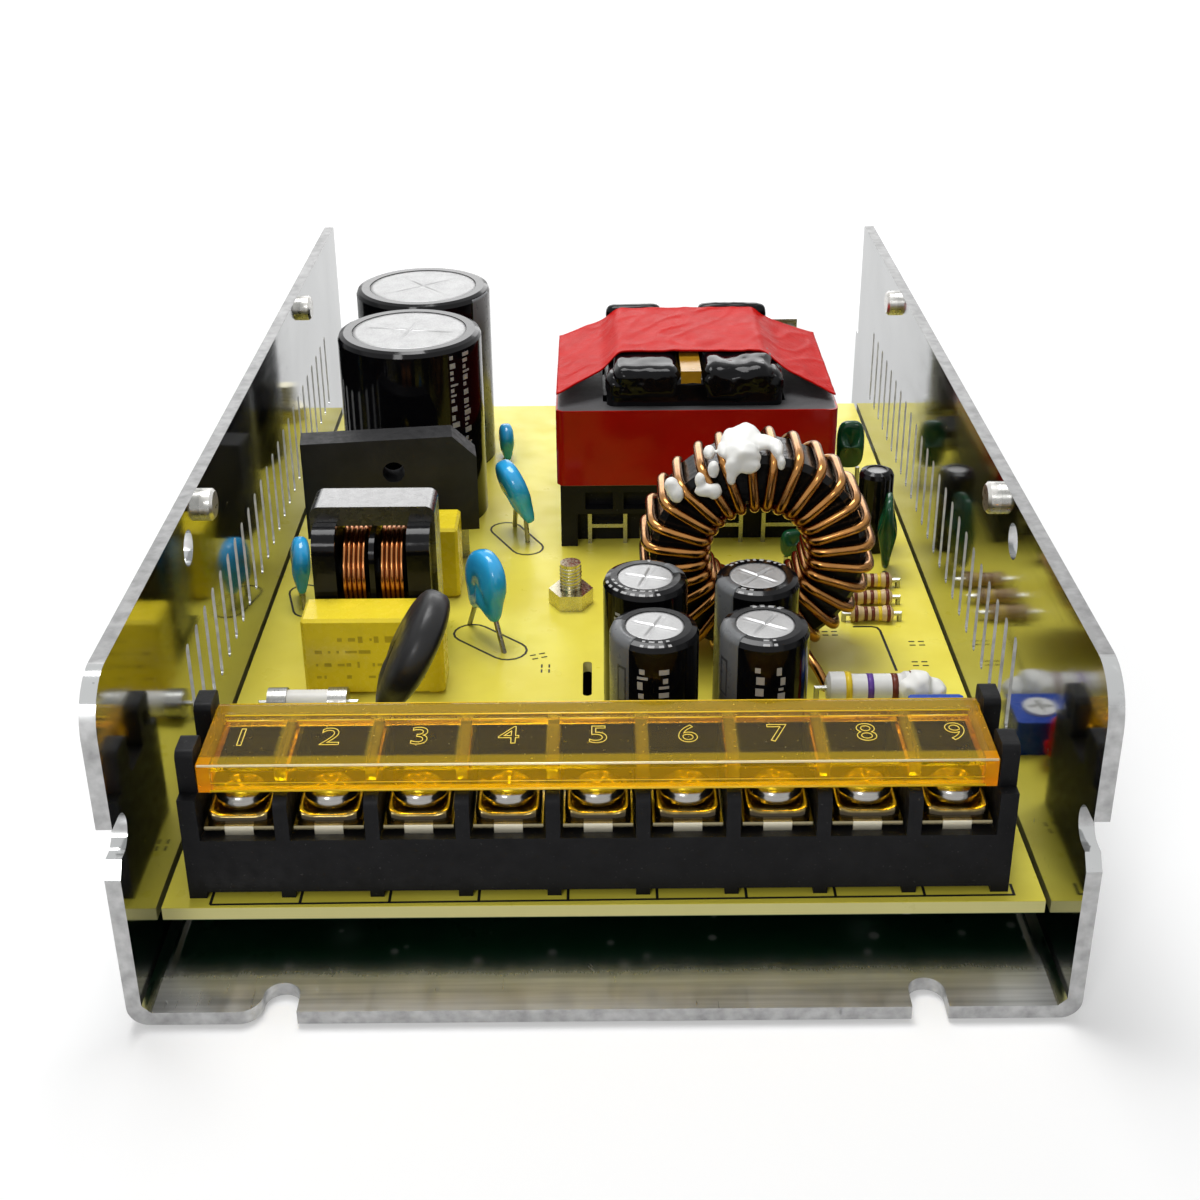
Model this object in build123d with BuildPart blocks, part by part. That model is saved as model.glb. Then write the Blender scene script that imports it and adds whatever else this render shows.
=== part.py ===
from build123d import *
import math
import os

os.makedirs("parts", exist_ok=True)

# Open switching power supply in an aluminium channel, in millimetres.
# X runs across, Y to the rear, Z up. The origin is the centre of the case's underside.

# Case
sheet = 1.6
case_h = 40.0
bend_r = 2.2
coin_leg = 0.9
wall_corner_r = 5.5
front_ledge = 9.9
rear_ledge = 4.4
vent_count = 24
vent_pitch = 4.65
vent_w = 1.4
vent_low = 13.7
vent_high = 26.0
vent_first = 33.5
wall_notch_low = 20.0
wall_notch_high = 24.4
notch_ease_h = 1.6
notch_ease_l = 1.2
notch_depth = 4.4
rear_step = 2.2
foot_slot_w = 3.8
foot_slot_x = 33.5
foot_slot_r = 2.4
side_hole_r = 2.15
side_hole_from_front = 39.3
side_hole_below_top = 4.6
base_hole_r = 1.65
base_hole_dx = 60.0
base_hole_dy = 117.0

# Press nuts for the missing lid
nut_places = (47.9, 122.9)
press_nut_r = 1.95
press_nut_h = 1.5
press_nut_bevel = 0.35
press_shank_r = 1.65
press_nut_end = 0.5
lid_thread_r = 1.25
nut_below_top = 3.0

# Board
board_t = 1.6
board_l = 145.7
board_side_gap = 0.3
board_slot_w = 1.2
board_slot_x = -1.9
board_slot_from_front = 42.6
board_slot_l = 8.8

# Studs and nuts that hold the board
standoff_h = 3.95
standoff_r = 3.0
stud_r = 1.45
stud_foot_r = 2.0
stud_above_board = 6.5
stud_in_left = 9.1
rear_stud_row = 140.6
nut_flats = 5.5
nut_h = 2.4
press_fit = 0.02
running_gap = 0.05
hole_gap = 0.25

# Terminal block
term_ways = 9
term_pitch = 9.5
barrier_t = 1.5
term_end_t = 1.9
term_past_ways = 2.3
term_depth = 16.5
term_from_board = 1.6
term_offset = -0.5
wall_gap = 3.5
foot_h = 0.8
term_floor_h = 7.45
barrier_h = 12.6
rear_wall_t = 1.5
ear_top_h = 17.6
ear_w = 4.0
front_ear_at = 1.4
rear_ear_at = 10.6
ear_r = 0.9
plate_w = 7.4
plate_t = 0.5
plate_front_gap = 1.1
plate_lift = 0.6
plate_tab_w = 3.1
clamp_side = 7.0
clamp_t = 1.5
clamp_r = 1.3
clamp_bevel = 0.4
clamp_back = 0.3
boss_side = 5.0
barrier_r = 1.5
head_r = 2.9
head_h = 1.9
screw_r = 1.5

# Terminal cover
cover_gap = 0.3
cover_t = 1.5
cover_lip_h = 3.3
cover_from_term = 0.9
cover_end_t = 1.2
cover_rib_t = 1.2
cover_rib_h = 1.2
cover_top_h = 16.3
hinge_pin_r = 1.0
hinge_bead_r = 1.5
hinge_from_term = 12.7
pin_reach = 1.3

# Output capacitors
out_cap_r = 5.15
out_cap_h = 20.3
sleeve_t = 0.25
sleeve_lip = 1.7
sleeve_round = 0.9

# Bulk capacitors
bulk_r = 11.0
bulk_h = 29.9
bulk_gap = 0.6
bulk_from_left = 17.95
bulk_from_front = 101.7
bulk_lip = 2.2

# Toroid choke
wire_d = 1.35
core_ri = 7.5
core_ro = 14.05
core_w = 8.6
core_bevel = 0.8
turns = 27
wound_angle = 344.0
wire_clear = 0.08
path_cut = 1.0
toroid_from_right = 26.6
toroid_from_front = 55.3
glue_t = 1.3

# Main transformer
trans_w = 41.7
trans_d = 33.1
trans_from_right = 32.75
trans_from_front = 102.25
bobbin_base_h = 10.35
base_in_x = 1.0
base_in_y = 1.8
ferrite_h = 12.1
yoke_left = 7.0
yoke_right = 7.5
leg_d = 4.0
centre_leg_d = 9.0
centre_leg_h = 8.0
bulge_h = 6.0
bulge_d = 30.2
bulge_soft = 0.9
bulge_start = 0.3
bulge_fall_left = 2.2
bulge_fall_right = 2.4
roof_from_left = 2.5
roof_from_right = 3.1
tape_t = 0.3
tape_r = 1.3
yoke_r = 1.0
gap_strip_w = 3.0
strip_off = 0.6
strip_sunk = 0.6
strip_lift = 1.0
pocket_w = 4.2
pocket_count = 6
pocket_deep = 4.0
pocket_h = 2.8
pocket_lift = 6.2
pin_bay_h = 5.4
pin_bay_deep = 5.0
staple_w = 6.0
staple_h = 5.35
staple_wire = 0.6
staple_count = 4
wrap_left_w = 26.0
wrap_knee_w = 23.2
wrap_roof_w = 20.6
wrap_right_w = 28.2
wrap_left_lift = 2.0
wrap_right_lift = 1.0
wrap_knee_over = 0.35
wrap_over = 0.25

# Line choke
choke_w = 16.3
choke_h = 20.9
choke_d = 6.0
choke_limb = 2.7
choke_r = 1.2
choke_foot_d = 13.0
choke_from_left = 17.3
choke_from_front = 57.1
choke_foot_h = 1.0
spool_r = 3.2
spool_wall = 0.75
flange_t = 0.7
flange_d = 13.0
flange_short = 0.9
cheek_d = 13.8
cheek_over = 0.5
cheek_inset = 0.5
cheek_r = 3.0
clip_gap = 0.1
coil_under = 1.55
coil_play = 0.05
ridges = 5
ridge_depth = 0.3

# Box film capacitors
film_w = 18.1
front_film_d = 6.2
rear_film_d = 7.1
film_h = 11.0
film_foot = 0.4
film_foot_side = 1.2
film_bevel = 0.4
film_foot_in_x = 3.0
film_foot_in_y = 2.0
film_from_left = 17.75
front_film_from_front = 46.5
rear_film_from_front = 73.45

# Rectifier
rect_w = 25.2
rect_h = 15.0
rect_t = 4.6
rect_lift = 5.7
rect_bevel = 3.4
rect_turn = 7.0
rect_hole_r = 1.6
rect_hole_share = 0.66
rect_hole_off = 0.5
rect_lead_pitch = 7.0
rect_lead_w = 1.1
rect_lead_t = 0.8
rect_from_left = 16.3
rect_from_front = 81.9

# Small parts
lead_r = 0.35
thermistor_r = 7.2
thermistor_t = 4.5
thermistor_h = 15.7
thermistor_lean = 29.0
thermistor_splay = 0.6
thermistor_from_left = 25.0
thermistor_from_front = 28.1
lead_grip_side = 0.45
lead_grip_down = 0.75
disc_edge_share = 0.3
green_bevel = 0.5
green_lead_in = 1.6
body_bevel = 0.4
resistor_r = 1.15
resistor_l = 6.0
small_reach = 0.9
load_r = 2.1
load_l = 12.5
load_lift = 2.5
load_reach = 1.2
trimmer_side = 6.8
trimmer_h = 4.6
rotor_r = 2.0
rotor_h = 1.2
rotor_proud = 0.3
cross_w = 0.7
cross_l = 2.8
lamp_r = 1.5
lamp_h = 5.0
lamp_rim = 0.4
lamp_rim_h = 0.8
lamp_lift = 2.0
lamp_lead_pitch = 2.0
lamp_lead_w = 0.5
small_cap_r = 2.6
small_cap_h = 12.9
small_cap_lip = 1.1
fuse_l = 10.0
fuse_cap_r = 1.9
fuse_cap_l = 2.4
fuse_cap_t = 0.3
fuse_end_t = 0.4
fuse_reach = 1.0

# Parts hidden behind the transformer
sink_w = 33.0
sink_t = 2.0
sink_foot = 5.0
sink_over = 1.5
package_pitch = 11.0
package_w = 10.0
package_h = 8.8
package_t = 4.5
package_lift = 2.6
tab_h = 5.6
tab_t = 1.3
tab_hole_r = 1.8
tab_hole_down = 2.9
package_lead_pitch = 2.54
package_lead_w = 0.9
package_lead_t = 0.5
driver_w = 15.0
driver_h = 12.0
driver_core_d = 4.8
driver_frame = 5.0
driver_winding_d = 11.0
driver_winding_bevel = 1.5
driver_foot_d = 12.0
driver_foot_in = 1.0
driver_foot = 1.2
chip_l = 19.3
chip_w = 6.4
chip_t = 3.3
chip_lift = 0.6
chip_pins_a_row = 8
chip_pin_out = 0.5

# Worked-out places
term_w = term_ways * term_pitch + term_past_ways
inner_w = term_w + 2 * wall_gap
case_w = inner_w + 2 * sheet
case_l = front_ledge + board_l + rear_ledge
board_w = inner_w - 2 * board_side_gap
board_base = sheet + standoff_h
top = board_base + board_t
case_front = -case_l / 2
board_front = case_front + front_ledge


def from_left(distance):
    return distance - board_w / 2


def from_right(distance):
    return board_w / 2 - distance


def from_front(distance):
    return board_front + distance


def save(piece, label):
    piece.part.label = label
    export_step(piece.part, f"parts/{label}.step")
    print(label, round(piece.part.volume, 1))


# Where the board is held: one stud in the open middle, the others out of sight
stud_spots = [
    (-4.3, from_front(68.2)),
    (from_left(stud_in_left), from_front(24.3)),
    (from_right(17.1), from_front(26.1)),
    (from_left(stud_in_left), from_front(rear_stud_row)),
    (-1.8, from_front(rear_stud_row)),
]
press_nut_z = case_h - nut_below_top
side_hole_z = case_h - side_hole_below_top
nut_spots = [case_front + place for place in nut_places]

# Case: one folded sheet, coined along its inside corners
with BuildPart() as chassis:
    with BuildSketch(Plane.XZ) as channel:
        Rectangle(case_w, case_h, align=(Align.CENTER, Align.MIN))
        fillet(channel.vertices().group_by(Axis.Y)[0], bend_r)
        with Locations((0, sheet)):
            Rectangle(inner_w, case_h, align=(Align.CENTER, Align.MIN), mode=Mode.SUBTRACT)
        inner_corners = [
            v for v in channel.vertices()
            if abs(v.Y - sheet) < 0.01 and abs(abs(v.X) - inner_w / 2) < 0.01
        ]
        chamfer(inner_corners, coin_leg)
    extrude(amount=case_l / 2, both=True)

    # Openings that both walls share
    with BuildSketch(Plane.YZ):
        vent_mid = (vent_low + vent_high) / 2
        for slot in range(vent_count):
            with Locations((case_front + vent_first + slot * vent_pitch, vent_mid)):
                SlotOverall(vent_high - vent_low, vent_w, rotation=90)
        with Locations((case_front + side_hole_from_front, side_hole_z)):
            Circle(side_hole_r)
        for place in nut_spots:
            with Locations((place, press_nut_z)):
                Circle(press_shank_r + press_fit)
    extrude(amount=case_w, both=True, mode=Mode.SUBTRACT)

    # Screw notch in each wall's front edge, its lower corner eased
    with BuildSketch(Plane.YZ):
        with BuildLine():
            notch_r = (wall_notch_high - wall_notch_low) / 2
            mid = (wall_notch_high + wall_notch_low) / 2
            deep = case_front + notch_depth - notch_r
            Polyline(
                (deep, wall_notch_high),
                (case_front - 1, wall_notch_high),
                (case_front - 1, wall_notch_low - notch_ease_h),
                (case_front, wall_notch_low - notch_ease_h),
                (case_front + notch_ease_l, wall_notch_low),
                (deep, wall_notch_low),
            )
            ThreePointArc(
                (deep, wall_notch_low), (deep + notch_r, mid), (deep, wall_notch_high)
            )
        make_face()
    extrude(amount=case_w, both=True, mode=Mode.SUBTRACT)

    # The right wall's upper part stops short of the rear
    with Locations((case_w / 2, case_l / 2, wall_notch_low)):
        Box(
            4 * sheet, 2 * rear_step, 2 * case_h,
            align=(Align.CENTER, Align.CENTER, Align.MIN), mode=Mode.SUBTRACT,
        )

    # Rounded upper corners at the front of the walls
    front_top = (
        chassis.edges().filter_by(Axis.X).group_by(Axis.Z)[-1].sort_by(Axis.Y)[:2]
    )
    fillet(front_top, wall_corner_r)

    # Base: two open screw slots in the front edge, tapped holes and stud holes
    with BuildSketch(Plane.XY):
        slot_end = case_front + notch_depth - foot_slot_w / 2
        for side in (-1, 1):
            with Locations((side * foot_slot_x, slot_end)):
                Circle(foot_slot_w / 2)
                Rectangle(foot_slot_w, notch_depth * 2, align=(Align.CENTER, Align.MAX))
        with GridLocations(base_hole_dx, base_hole_dy, 2, 2):
            Circle(base_hole_r)
        with Locations(*stud_spots):
            Circle(stud_foot_r + press_fit)
    extrude(amount=sheet, mode=Mode.SUBTRACT)
    slot_corner = (
        chassis.edges().filter_by(Axis.Z)
        .filter_by_position(Axis.Y, case_front - 0.01, case_front + 0.01)
        .filter_by_position(
            Axis.X, -foot_slot_x - foot_slot_w / 2 - 0.01, -foot_slot_x - foot_slot_w / 2 + 0.01
        )
    )
    fillet(slot_corner, foot_slot_r)
save(chassis, "chassis")

# Press nuts: a shank in the wall and a bevelled barrel inside it, blind at the inner end
with BuildPart() as press_nuts:
    for side in (-1, 1):
        inward = Vector(-side, 0, 0)
        for place in nut_spots:
            outer = Plane((side * case_w / 2, place, press_nut_z), z_dir=inward)
            with BuildSketch(outer):
                Circle(press_shank_r)
            extrude(amount=sheet)
            with BuildSketch(outer.offset(sheet)):
                Circle(press_nut_r)
            extrude(amount=press_nut_h - press_nut_bevel)
            with BuildSketch(outer.offset(sheet + press_nut_h - press_nut_bevel)):
                Circle(press_nut_r)
            extrude(amount=press_nut_bevel, taper=45)
            with BuildSketch(outer):
                Circle(lid_thread_r)
            extrude(amount=sheet + press_nut_h - press_nut_end, mode=Mode.SUBTRACT)
save(press_nuts, "press_nuts")

# Board, with its stud holes and the isolation slot
with BuildPart() as circuit_board:
    with BuildSketch(Plane.XY.offset(board_base)):
        with Locations((0, board_front)):
            Rectangle(board_w, board_l, align=(Align.CENTER, Align.MIN))
        with Locations(*stud_spots):
            Circle(stud_r + hole_gap, mode=Mode.SUBTRACT)
        with Locations((board_slot_x, from_front(board_slot_from_front + board_slot_l / 2))):
            SlotOverall(board_slot_l, board_slot_w, rotation=90, mode=Mode.SUBTRACT)
    extrude(amount=board_t)
save(circuit_board, "circuit_board")

# Shouldered studs pressed into the base
with BuildPart() as board_studs:
    with BuildSketch(Plane.XY):
        with Locations(*stud_spots):
            Circle(stud_foot_r)
    extrude(amount=sheet)
    with BuildSketch(Plane.XY.offset(sheet)):
        with Locations(*stud_spots):
            Circle(standoff_r)
    extrude(amount=standoff_h)
    with BuildSketch(Plane.XY.offset(board_base)):
        with Locations(*stud_spots):
            Circle(stud_r)
    extrude(amount=board_t + stud_above_board)
save(board_studs, "board_studs")

with BuildPart() as board_nuts:
    with BuildSketch(Plane.XY.offset(top)):
        with Locations(*stud_spots):
            RegularPolygon(nut_flats / 2, 6, major_radius=False)
            Circle(stud_r + running_gap, mode=Mode.SUBTRACT)
    extrude(amount=nut_h)
save(board_nuts, "board_nuts")

# Terminal block: one moulding with barriers, end plates and two ears on each end
term_front = from_front(term_from_board)
term_rear = term_front + term_depth
term_floor = top + term_floor_h
way_x = [term_offset + (way - (term_ways - 1) / 2) * term_pitch for way in range(term_ways)]
barrier_x = [x + term_pitch / 2 for x in way_x[:-1]]
screw_y = term_front + plate_front_gap + clamp_side / 2 + clamp_back
hinge_y = term_front + hinge_from_term
cover_top = top + cover_top_h
hinge_z = cover_top - hinge_bead_r
term_inner_w = term_w - 2 * term_end_t

with BuildPart() as terminal_body:
    # Floor and rear wall, standing off the board on the barriers' feet
    with BuildSketch(Plane.YZ.offset(term_offset - term_w / 2)):
        with Locations((term_front, top + foot_h)):
            Rectangle(term_depth, term_floor_h - foot_h, align=(Align.MIN, Align.MIN))
        with Locations((term_rear, top + foot_h)):
            Rectangle(rear_wall_t, barrier_h - foot_h, align=(Align.MAX, Align.MIN))
    extrude(amount=term_w)
    # Barriers between the ways
    for x in barrier_x:
        with BuildSketch(Plane.YZ.offset(x - barrier_t / 2)) as barrier:
            with Locations((term_front, top)):
                Rectangle(term_depth, barrier_h, align=(Align.MIN, Align.MIN))
            fillet(barrier.vertices().group_by(Axis.Y)[-1].sort_by(Axis.X)[0], barrier_r)
        extrude(amount=barrier_t)
    # End plates with their ears
    for start in (term_offset - term_w / 2, term_offset + term_w / 2 - term_end_t):
        with BuildSketch(Plane.YZ.offset(start)) as end_plate:
            with Locations((term_front, top)):
                Rectangle(term_depth, barrier_h, align=(Align.MIN, Align.MIN))
            for ear in (front_ear_at, rear_ear_at):
                with Locations((term_front + ear, top)):
                    Rectangle(ear_w, ear_top_h, align=(Align.MIN, Align.MIN))
            fillet(end_plate.vertices().group_by(Axis.Y)[-1], ear_r)
            with Locations((hinge_y, hinge_z)):
                Circle(hinge_pin_r + running_gap, mode=Mode.SUBTRACT)
        extrude(amount=term_end_t)
save(terminal_body, "terminal_body")

# Contact plates: a bridge with a front tab and a tapped boss on the floor
plate_l = term_depth - rear_wall_t - plate_front_gap - 0.4
plate_y = term_front + plate_front_gap
plate_base = term_floor + plate_lift
with BuildPart() as terminal_plates:
    for x in way_x:
        with BuildSketch(Plane.XY.offset(plate_base)):
            with Locations((x, plate_y)):
                Rectangle(plate_w, plate_l, align=(Align.CENTER, Align.MIN))
        extrude(amount=plate_t)
        with BuildSketch(Plane.XY.offset(term_floor)):
            with Locations((x, plate_y)):
                Rectangle(plate_tab_w, plate_t, align=(Align.CENTER, Align.MIN))
            with Locations((x, screw_y)):
                Rectangle(boss_side, boss_side)
        extrude(amount=plate_lift)
        with BuildSketch(Plane.XY.offset(term_floor)):
            with Locations((x, screw_y)):
                Circle(screw_r + running_gap)
        extrude(amount=plate_lift + plate_t, mode=Mode.SUBTRACT)
save(terminal_plates, "terminal_plates")

clamp_base = plate_base + plate_t
with BuildPart() as terminal_clamps:
    for x in way_x:
        with BuildSketch(Plane.XY.offset(clamp_base)):
            with Locations((x, screw_y)):
                RectangleRounded(clamp_side, clamp_side, clamp_r)
                Circle(screw_r + running_gap, mode=Mode.SUBTRACT)
        extrude(amount=clamp_t)
    clamp_rims = (
        terminal_clamps.faces().filter_by(Axis.Z).group_by(Axis.Z)[-1]
    )
    chamfer([face.outer_wire().edges() for face in clamp_rims][0], clamp_bevel)
save(terminal_clamps, "terminal_clamps")

head_base = clamp_base + clamp_t
with BuildPart() as terminal_screws:
    for x in way_x:
        with BuildSketch(Plane((x, screw_y, 0), x_dir=(1, 0, 0), z_dir=(0, -1, 0))):
            with BuildLine():
                Polyline(
                    (0, term_floor + 0.1), (screw_r, term_floor + 0.1), (screw_r, head_base),
                    (head_r, head_base), (head_r, head_base + head_h * 0.35),
                    (head_r * 0.78, head_base + head_h * 0.8),
                    (head_r * 0.4, head_base + head_h), (0, head_base + head_h), close=True,
                )
            make_face()
        revolve(axis=Axis((x, screw_y, 0), (0, 0, 1)))
save(terminal_screws, "terminal_screws")

# Cover: top plate, front lip, end walls, ribs above the barriers, hinge bead and pins
cover_half = term_inner_w / 2 - cover_gap
cover_front = term_front + cover_from_term
with BuildPart() as terminal_cover:
    with BuildSketch(Plane.YZ.offset(term_offset - cover_half)):
        with Locations((cover_front, cover_top)):
            Rectangle(hinge_y - cover_front, cover_t, align=(Align.MIN, Align.MAX))
            Rectangle(cover_t, cover_lip_h, align=(Align.MIN, Align.MAX))
        with Locations((hinge_y, hinge_z)):
            Circle(hinge_bead_r)
    extrude(amount=2 * cover_half)
    for start in (term_offset - cover_half, term_offset + cover_half - cover_end_t):
        with BuildSketch(Plane.YZ.offset(start)):
            with Locations((cover_front, cover_top)):
                Rectangle(hinge_y - cover_front, cover_lip_h - 0.3, align=(Align.MIN, Align.MAX))
        extrude(amount=cover_end_t)
    for x in barrier_x:
        with BuildSketch(Plane.YZ.offset(x - cover_rib_t / 2)):
            with Locations((cover_front + cover_t, cover_top - cover_t)):
                Rectangle(
                    hinge_y - cover_front - cover_t - hinge_bead_r, cover_rib_h,
                    align=(Align.MIN, Align.MAX),
                )
        extrude(amount=cover_rib_t)
    with BuildSketch(Plane.YZ.offset(term_offset - cover_half - pin_reach)):
        with Locations((hinge_y, hinge_z)):
            Circle(hinge_pin_r)
    extrude(amount=2 * (cover_half + pin_reach))
save(terminal_cover, "terminal_cover")


def can_profile(radius, height):
    """Half section of an aluminium can with a stepped-in top edge."""
    return [
        (0, 0), (radius, 0), (radius, height - 0.8), (radius - 0.8, height), (0, height)
    ]


def sleeve_profile(radius, height, lip):
    """Half section of a shrunk sleeve that folds over the can's top edge."""
    inner = radius - sleeve_t
    return [
        (inner, 0), (radius, 0), (radius, height - sleeve_round),
        (radius - sleeve_round * 0.3, height - sleeve_round * 0.3),
        (radius - sleeve_round, height),
        (radius - lip, height), (radius - lip, height - sleeve_t),
        (inner - 0.8, height - sleeve_t), (inner, height - sleeve_t - 0.8),
    ]


def place_turned(spots, profile):
    """Revolve one half section about a vertical line at each spot."""
    for x, y in spots:
        with BuildSketch(Plane((x, y, top), x_dir=(1, 0, 0), z_dir=(0, -1, 0))) as section:
            with BuildLine():
                Polyline(*profile, close=True)
            make_face()
        revolve(section.sketch, axis=Axis((x, y, 0), (0, 0, 1)))


# Output capacitors
out_cap_spots = [
    (from_right(41.0), from_front(24.6)),
    (from_right(28.3), from_front(24.8)),
    (from_right(41.7), from_front(36.9)),
    (from_right(28.1), from_front(36.9)),
]
with BuildPart() as output_cap_cans:
    place_turned(out_cap_spots, can_profile(out_cap_r - sleeve_t, out_cap_h - sleeve_t))
save(output_cap_cans, "output_cap_cans")
with BuildPart() as output_cap_sleeves:
    place_turned(out_cap_spots, sleeve_profile(out_cap_r, out_cap_h, sleeve_lip))
save(output_cap_sleeves, "output_cap_sleeves")

# Bulk capacitors
bulk_pitch = 2 * bulk_r + bulk_gap
bulk_spots = [
    (from_left(bulk_from_left), from_front(bulk_from_front + row * bulk_pitch))
    for row in range(2)
]
with BuildPart() as bulk_cap_cans:
    place_turned(bulk_spots, can_profile(bulk_r - sleeve_t, bulk_h - sleeve_t))
save(bulk_cap_cans, "bulk_cap_cans")
with BuildPart() as bulk_cap_sleeves:
    place_turned(bulk_spots, sleeve_profile(bulk_r, bulk_h, bulk_lip))
save(bulk_cap_sleeves, "bulk_cap_sleeves")

# Toroid choke, standing on edge with its axis front to rear
wire_off = wire_d / 2 + wire_clear
turn_out = core_ro + wire_off
turn_in = core_ri - wire_off
turn_y = core_w / 2 + wire_off
toroid_x = from_right(toroid_from_right)
toroid_y = from_front(toroid_from_front)
toroid_z = top + turn_out + wire_d / 2 + 0.1
toroid_axis = Axis((toroid_x, toroid_y, toroid_z), (0, 1, 0))
step_angle = wound_angle / turns

with BuildPart() as toroid_core:
    with BuildSketch(Plane((toroid_x, toroid_y, toroid_z), x_dir=(1, 0, 0), z_dir=(0, 0, 1))) as ring:
        with Locations(((core_ri + core_ro) / 2, 0)):
            Rectangle(core_ro - core_ri, core_w)
        chamfer(ring.vertices(), core_bevel)
    revolve(axis=toroid_axis)
save(toroid_core, "toroid_core")


def ring_point(radius, turn_share, y):
    """A point of the winding: share of one turn's step, counted from straight down."""
    angle = math.radians(-90 + (360 - wound_angle) / 2 + turn_share * step_angle)
    return (
        toroid_x + radius * math.cos(angle),
        toroid_y + y,
        toroid_z + radius * math.sin(angle),
    )


# One turn runs straight out over the front and back along the rim, and moves on at the rear
turn_route = [
    ring_point(turn_in, 0, 0),
    ring_point(turn_in, 0, -turn_y + path_cut),
    ring_point(turn_in + path_cut, 0, -turn_y),
    ring_point(turn_out - path_cut, 0, -turn_y),
    ring_point(turn_out, 0, -turn_y + path_cut),
    ring_point(turn_out, 0.1, turn_y - path_cut),
    ring_point(turn_out - path_cut, 0.15, turn_y),
    ring_point(turn_in + path_cut, 1, turn_y),
    ring_point(turn_in, 1, turn_y - path_cut),
    ring_point(turn_in, 1, 0),
]
with BuildPart() as one_turn:
    with BuildLine() as route:
        Polyline(*turn_route)
    with BuildSketch(Plane(origin=route.line @ 0, z_dir=route.line % 0)):
        RegularPolygon(wire_d / 2, 6)
    sweep(transition=Transition.RIGHT)

with BuildPart() as toroid_winding:
    for turn in range(turns):
        add(one_turn.part.rotate(toroid_axis, -turn * step_angle))
save(toroid_winding, "toroid_winding")

# White glue bead on top of the toroid
with BuildPart() as toroid_glue:
    bead_in = turn_out + wire_d / 2 + wire_clear
    with BuildSketch(Plane.XZ.offset(-(toroid_y + 3.0))):
        with BuildLine():
            bead = [
                (toroid_x + radius * math.cos(math.radians(angle)),
                 toroid_z + radius * math.sin(math.radians(angle)))
                for radius, angle in (
                    (bead_in, 80), (bead_in, 93), (bead_in, 106),
                    (bead_in + glue_t * 0.6, 104), (bead_in + glue_t, 93),
                    (bead_in + glue_t * 0.7, 82),
                )
            ]
            ThreePointArc(*bead[:3])
            Polyline(bead[2], bead[3], bead[4], bead[5], bead[0])
        make_face()
    extrude(amount=7.0)
save(toroid_glue, "toroid_glue")

# Main transformer
trans_x = from_right(trans_from_right)
trans_y = from_front(trans_from_front)
ferrite_base = top + bobbin_base_h
ferrite_top = ferrite_base + ferrite_h
ferrite_mid = (ferrite_base + ferrite_top) / 2
trans_left = trans_x - trans_w / 2
trans_right = trans_x + trans_w / 2
window_left = trans_left + yoke_left
window_right = trans_right - yoke_right
window_x = (window_left + window_right) / 2
window_w = window_right - window_left
window_d = trans_d - 2 * leg_d

with BuildPart() as transformer_core:
    with BuildSketch(Plane.XY.offset(ferrite_base)):
        with Locations((trans_x, trans_y)):
            RectangleRounded(trans_w - 2 * tape_t, trans_d - 2 * tape_t, yoke_r)
        with Locations((window_x, trans_y)):
            Rectangle(window_w, window_d, mode=Mode.SUBTRACT)
    extrude(amount=ferrite_h)
    with Locations((window_x, trans_y, ferrite_mid)):
        Box(window_w, centre_leg_d, centre_leg_h)
save(transformer_core, "transformer_core")

with BuildPart() as transformer_tape_band:
    with BuildSketch(Plane.XY.offset(ferrite_base + 0.2)):
        with Locations((trans_x, trans_y)):
            RectangleRounded(trans_w, trans_d, tape_r)
            RectangleRounded(
                trans_w - 2 * tape_t, trans_d - 2 * tape_t, yoke_r, mode=Mode.SUBTRACT
            )
    extrude(amount=ferrite_h - 0.2)
save(transformer_tape_band, "transformer_tape_band")

# Bobbin base: a tray under the core with a row of pockets open to the front and rear
base_w = trans_w - base_in_x
base_d = trans_d - base_in_y
with BuildPart() as transformer_bobbin:
    with Locations((trans_x, trans_y, top)):
        Box(base_w, base_d, bobbin_base_h, align=(Align.CENTER, Align.CENTER, Align.MIN))
    for side in (-1, 1):
        with Locations((trans_x, trans_y + side * base_d / 2, top)):
            Box(
                base_w - pin_bay_deep, pin_bay_deep, pin_bay_h,
                align=(Align.CENTER, Align.CENTER, Align.MIN), mode=Mode.SUBTRACT,
            )
        with Locations((trans_x, trans_y + side * base_d / 2, top + pocket_lift)):
            with GridLocations(base_w / (pocket_count + 1), 1, pocket_count, 1):
                Box(
                    pocket_w, pocket_deep, pocket_h,
                    align=(Align.CENTER, Align.CENTER, Align.MIN), mode=Mode.SUBTRACT,
                )
save(transformer_bobbin, "transformer_bobbin")

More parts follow.
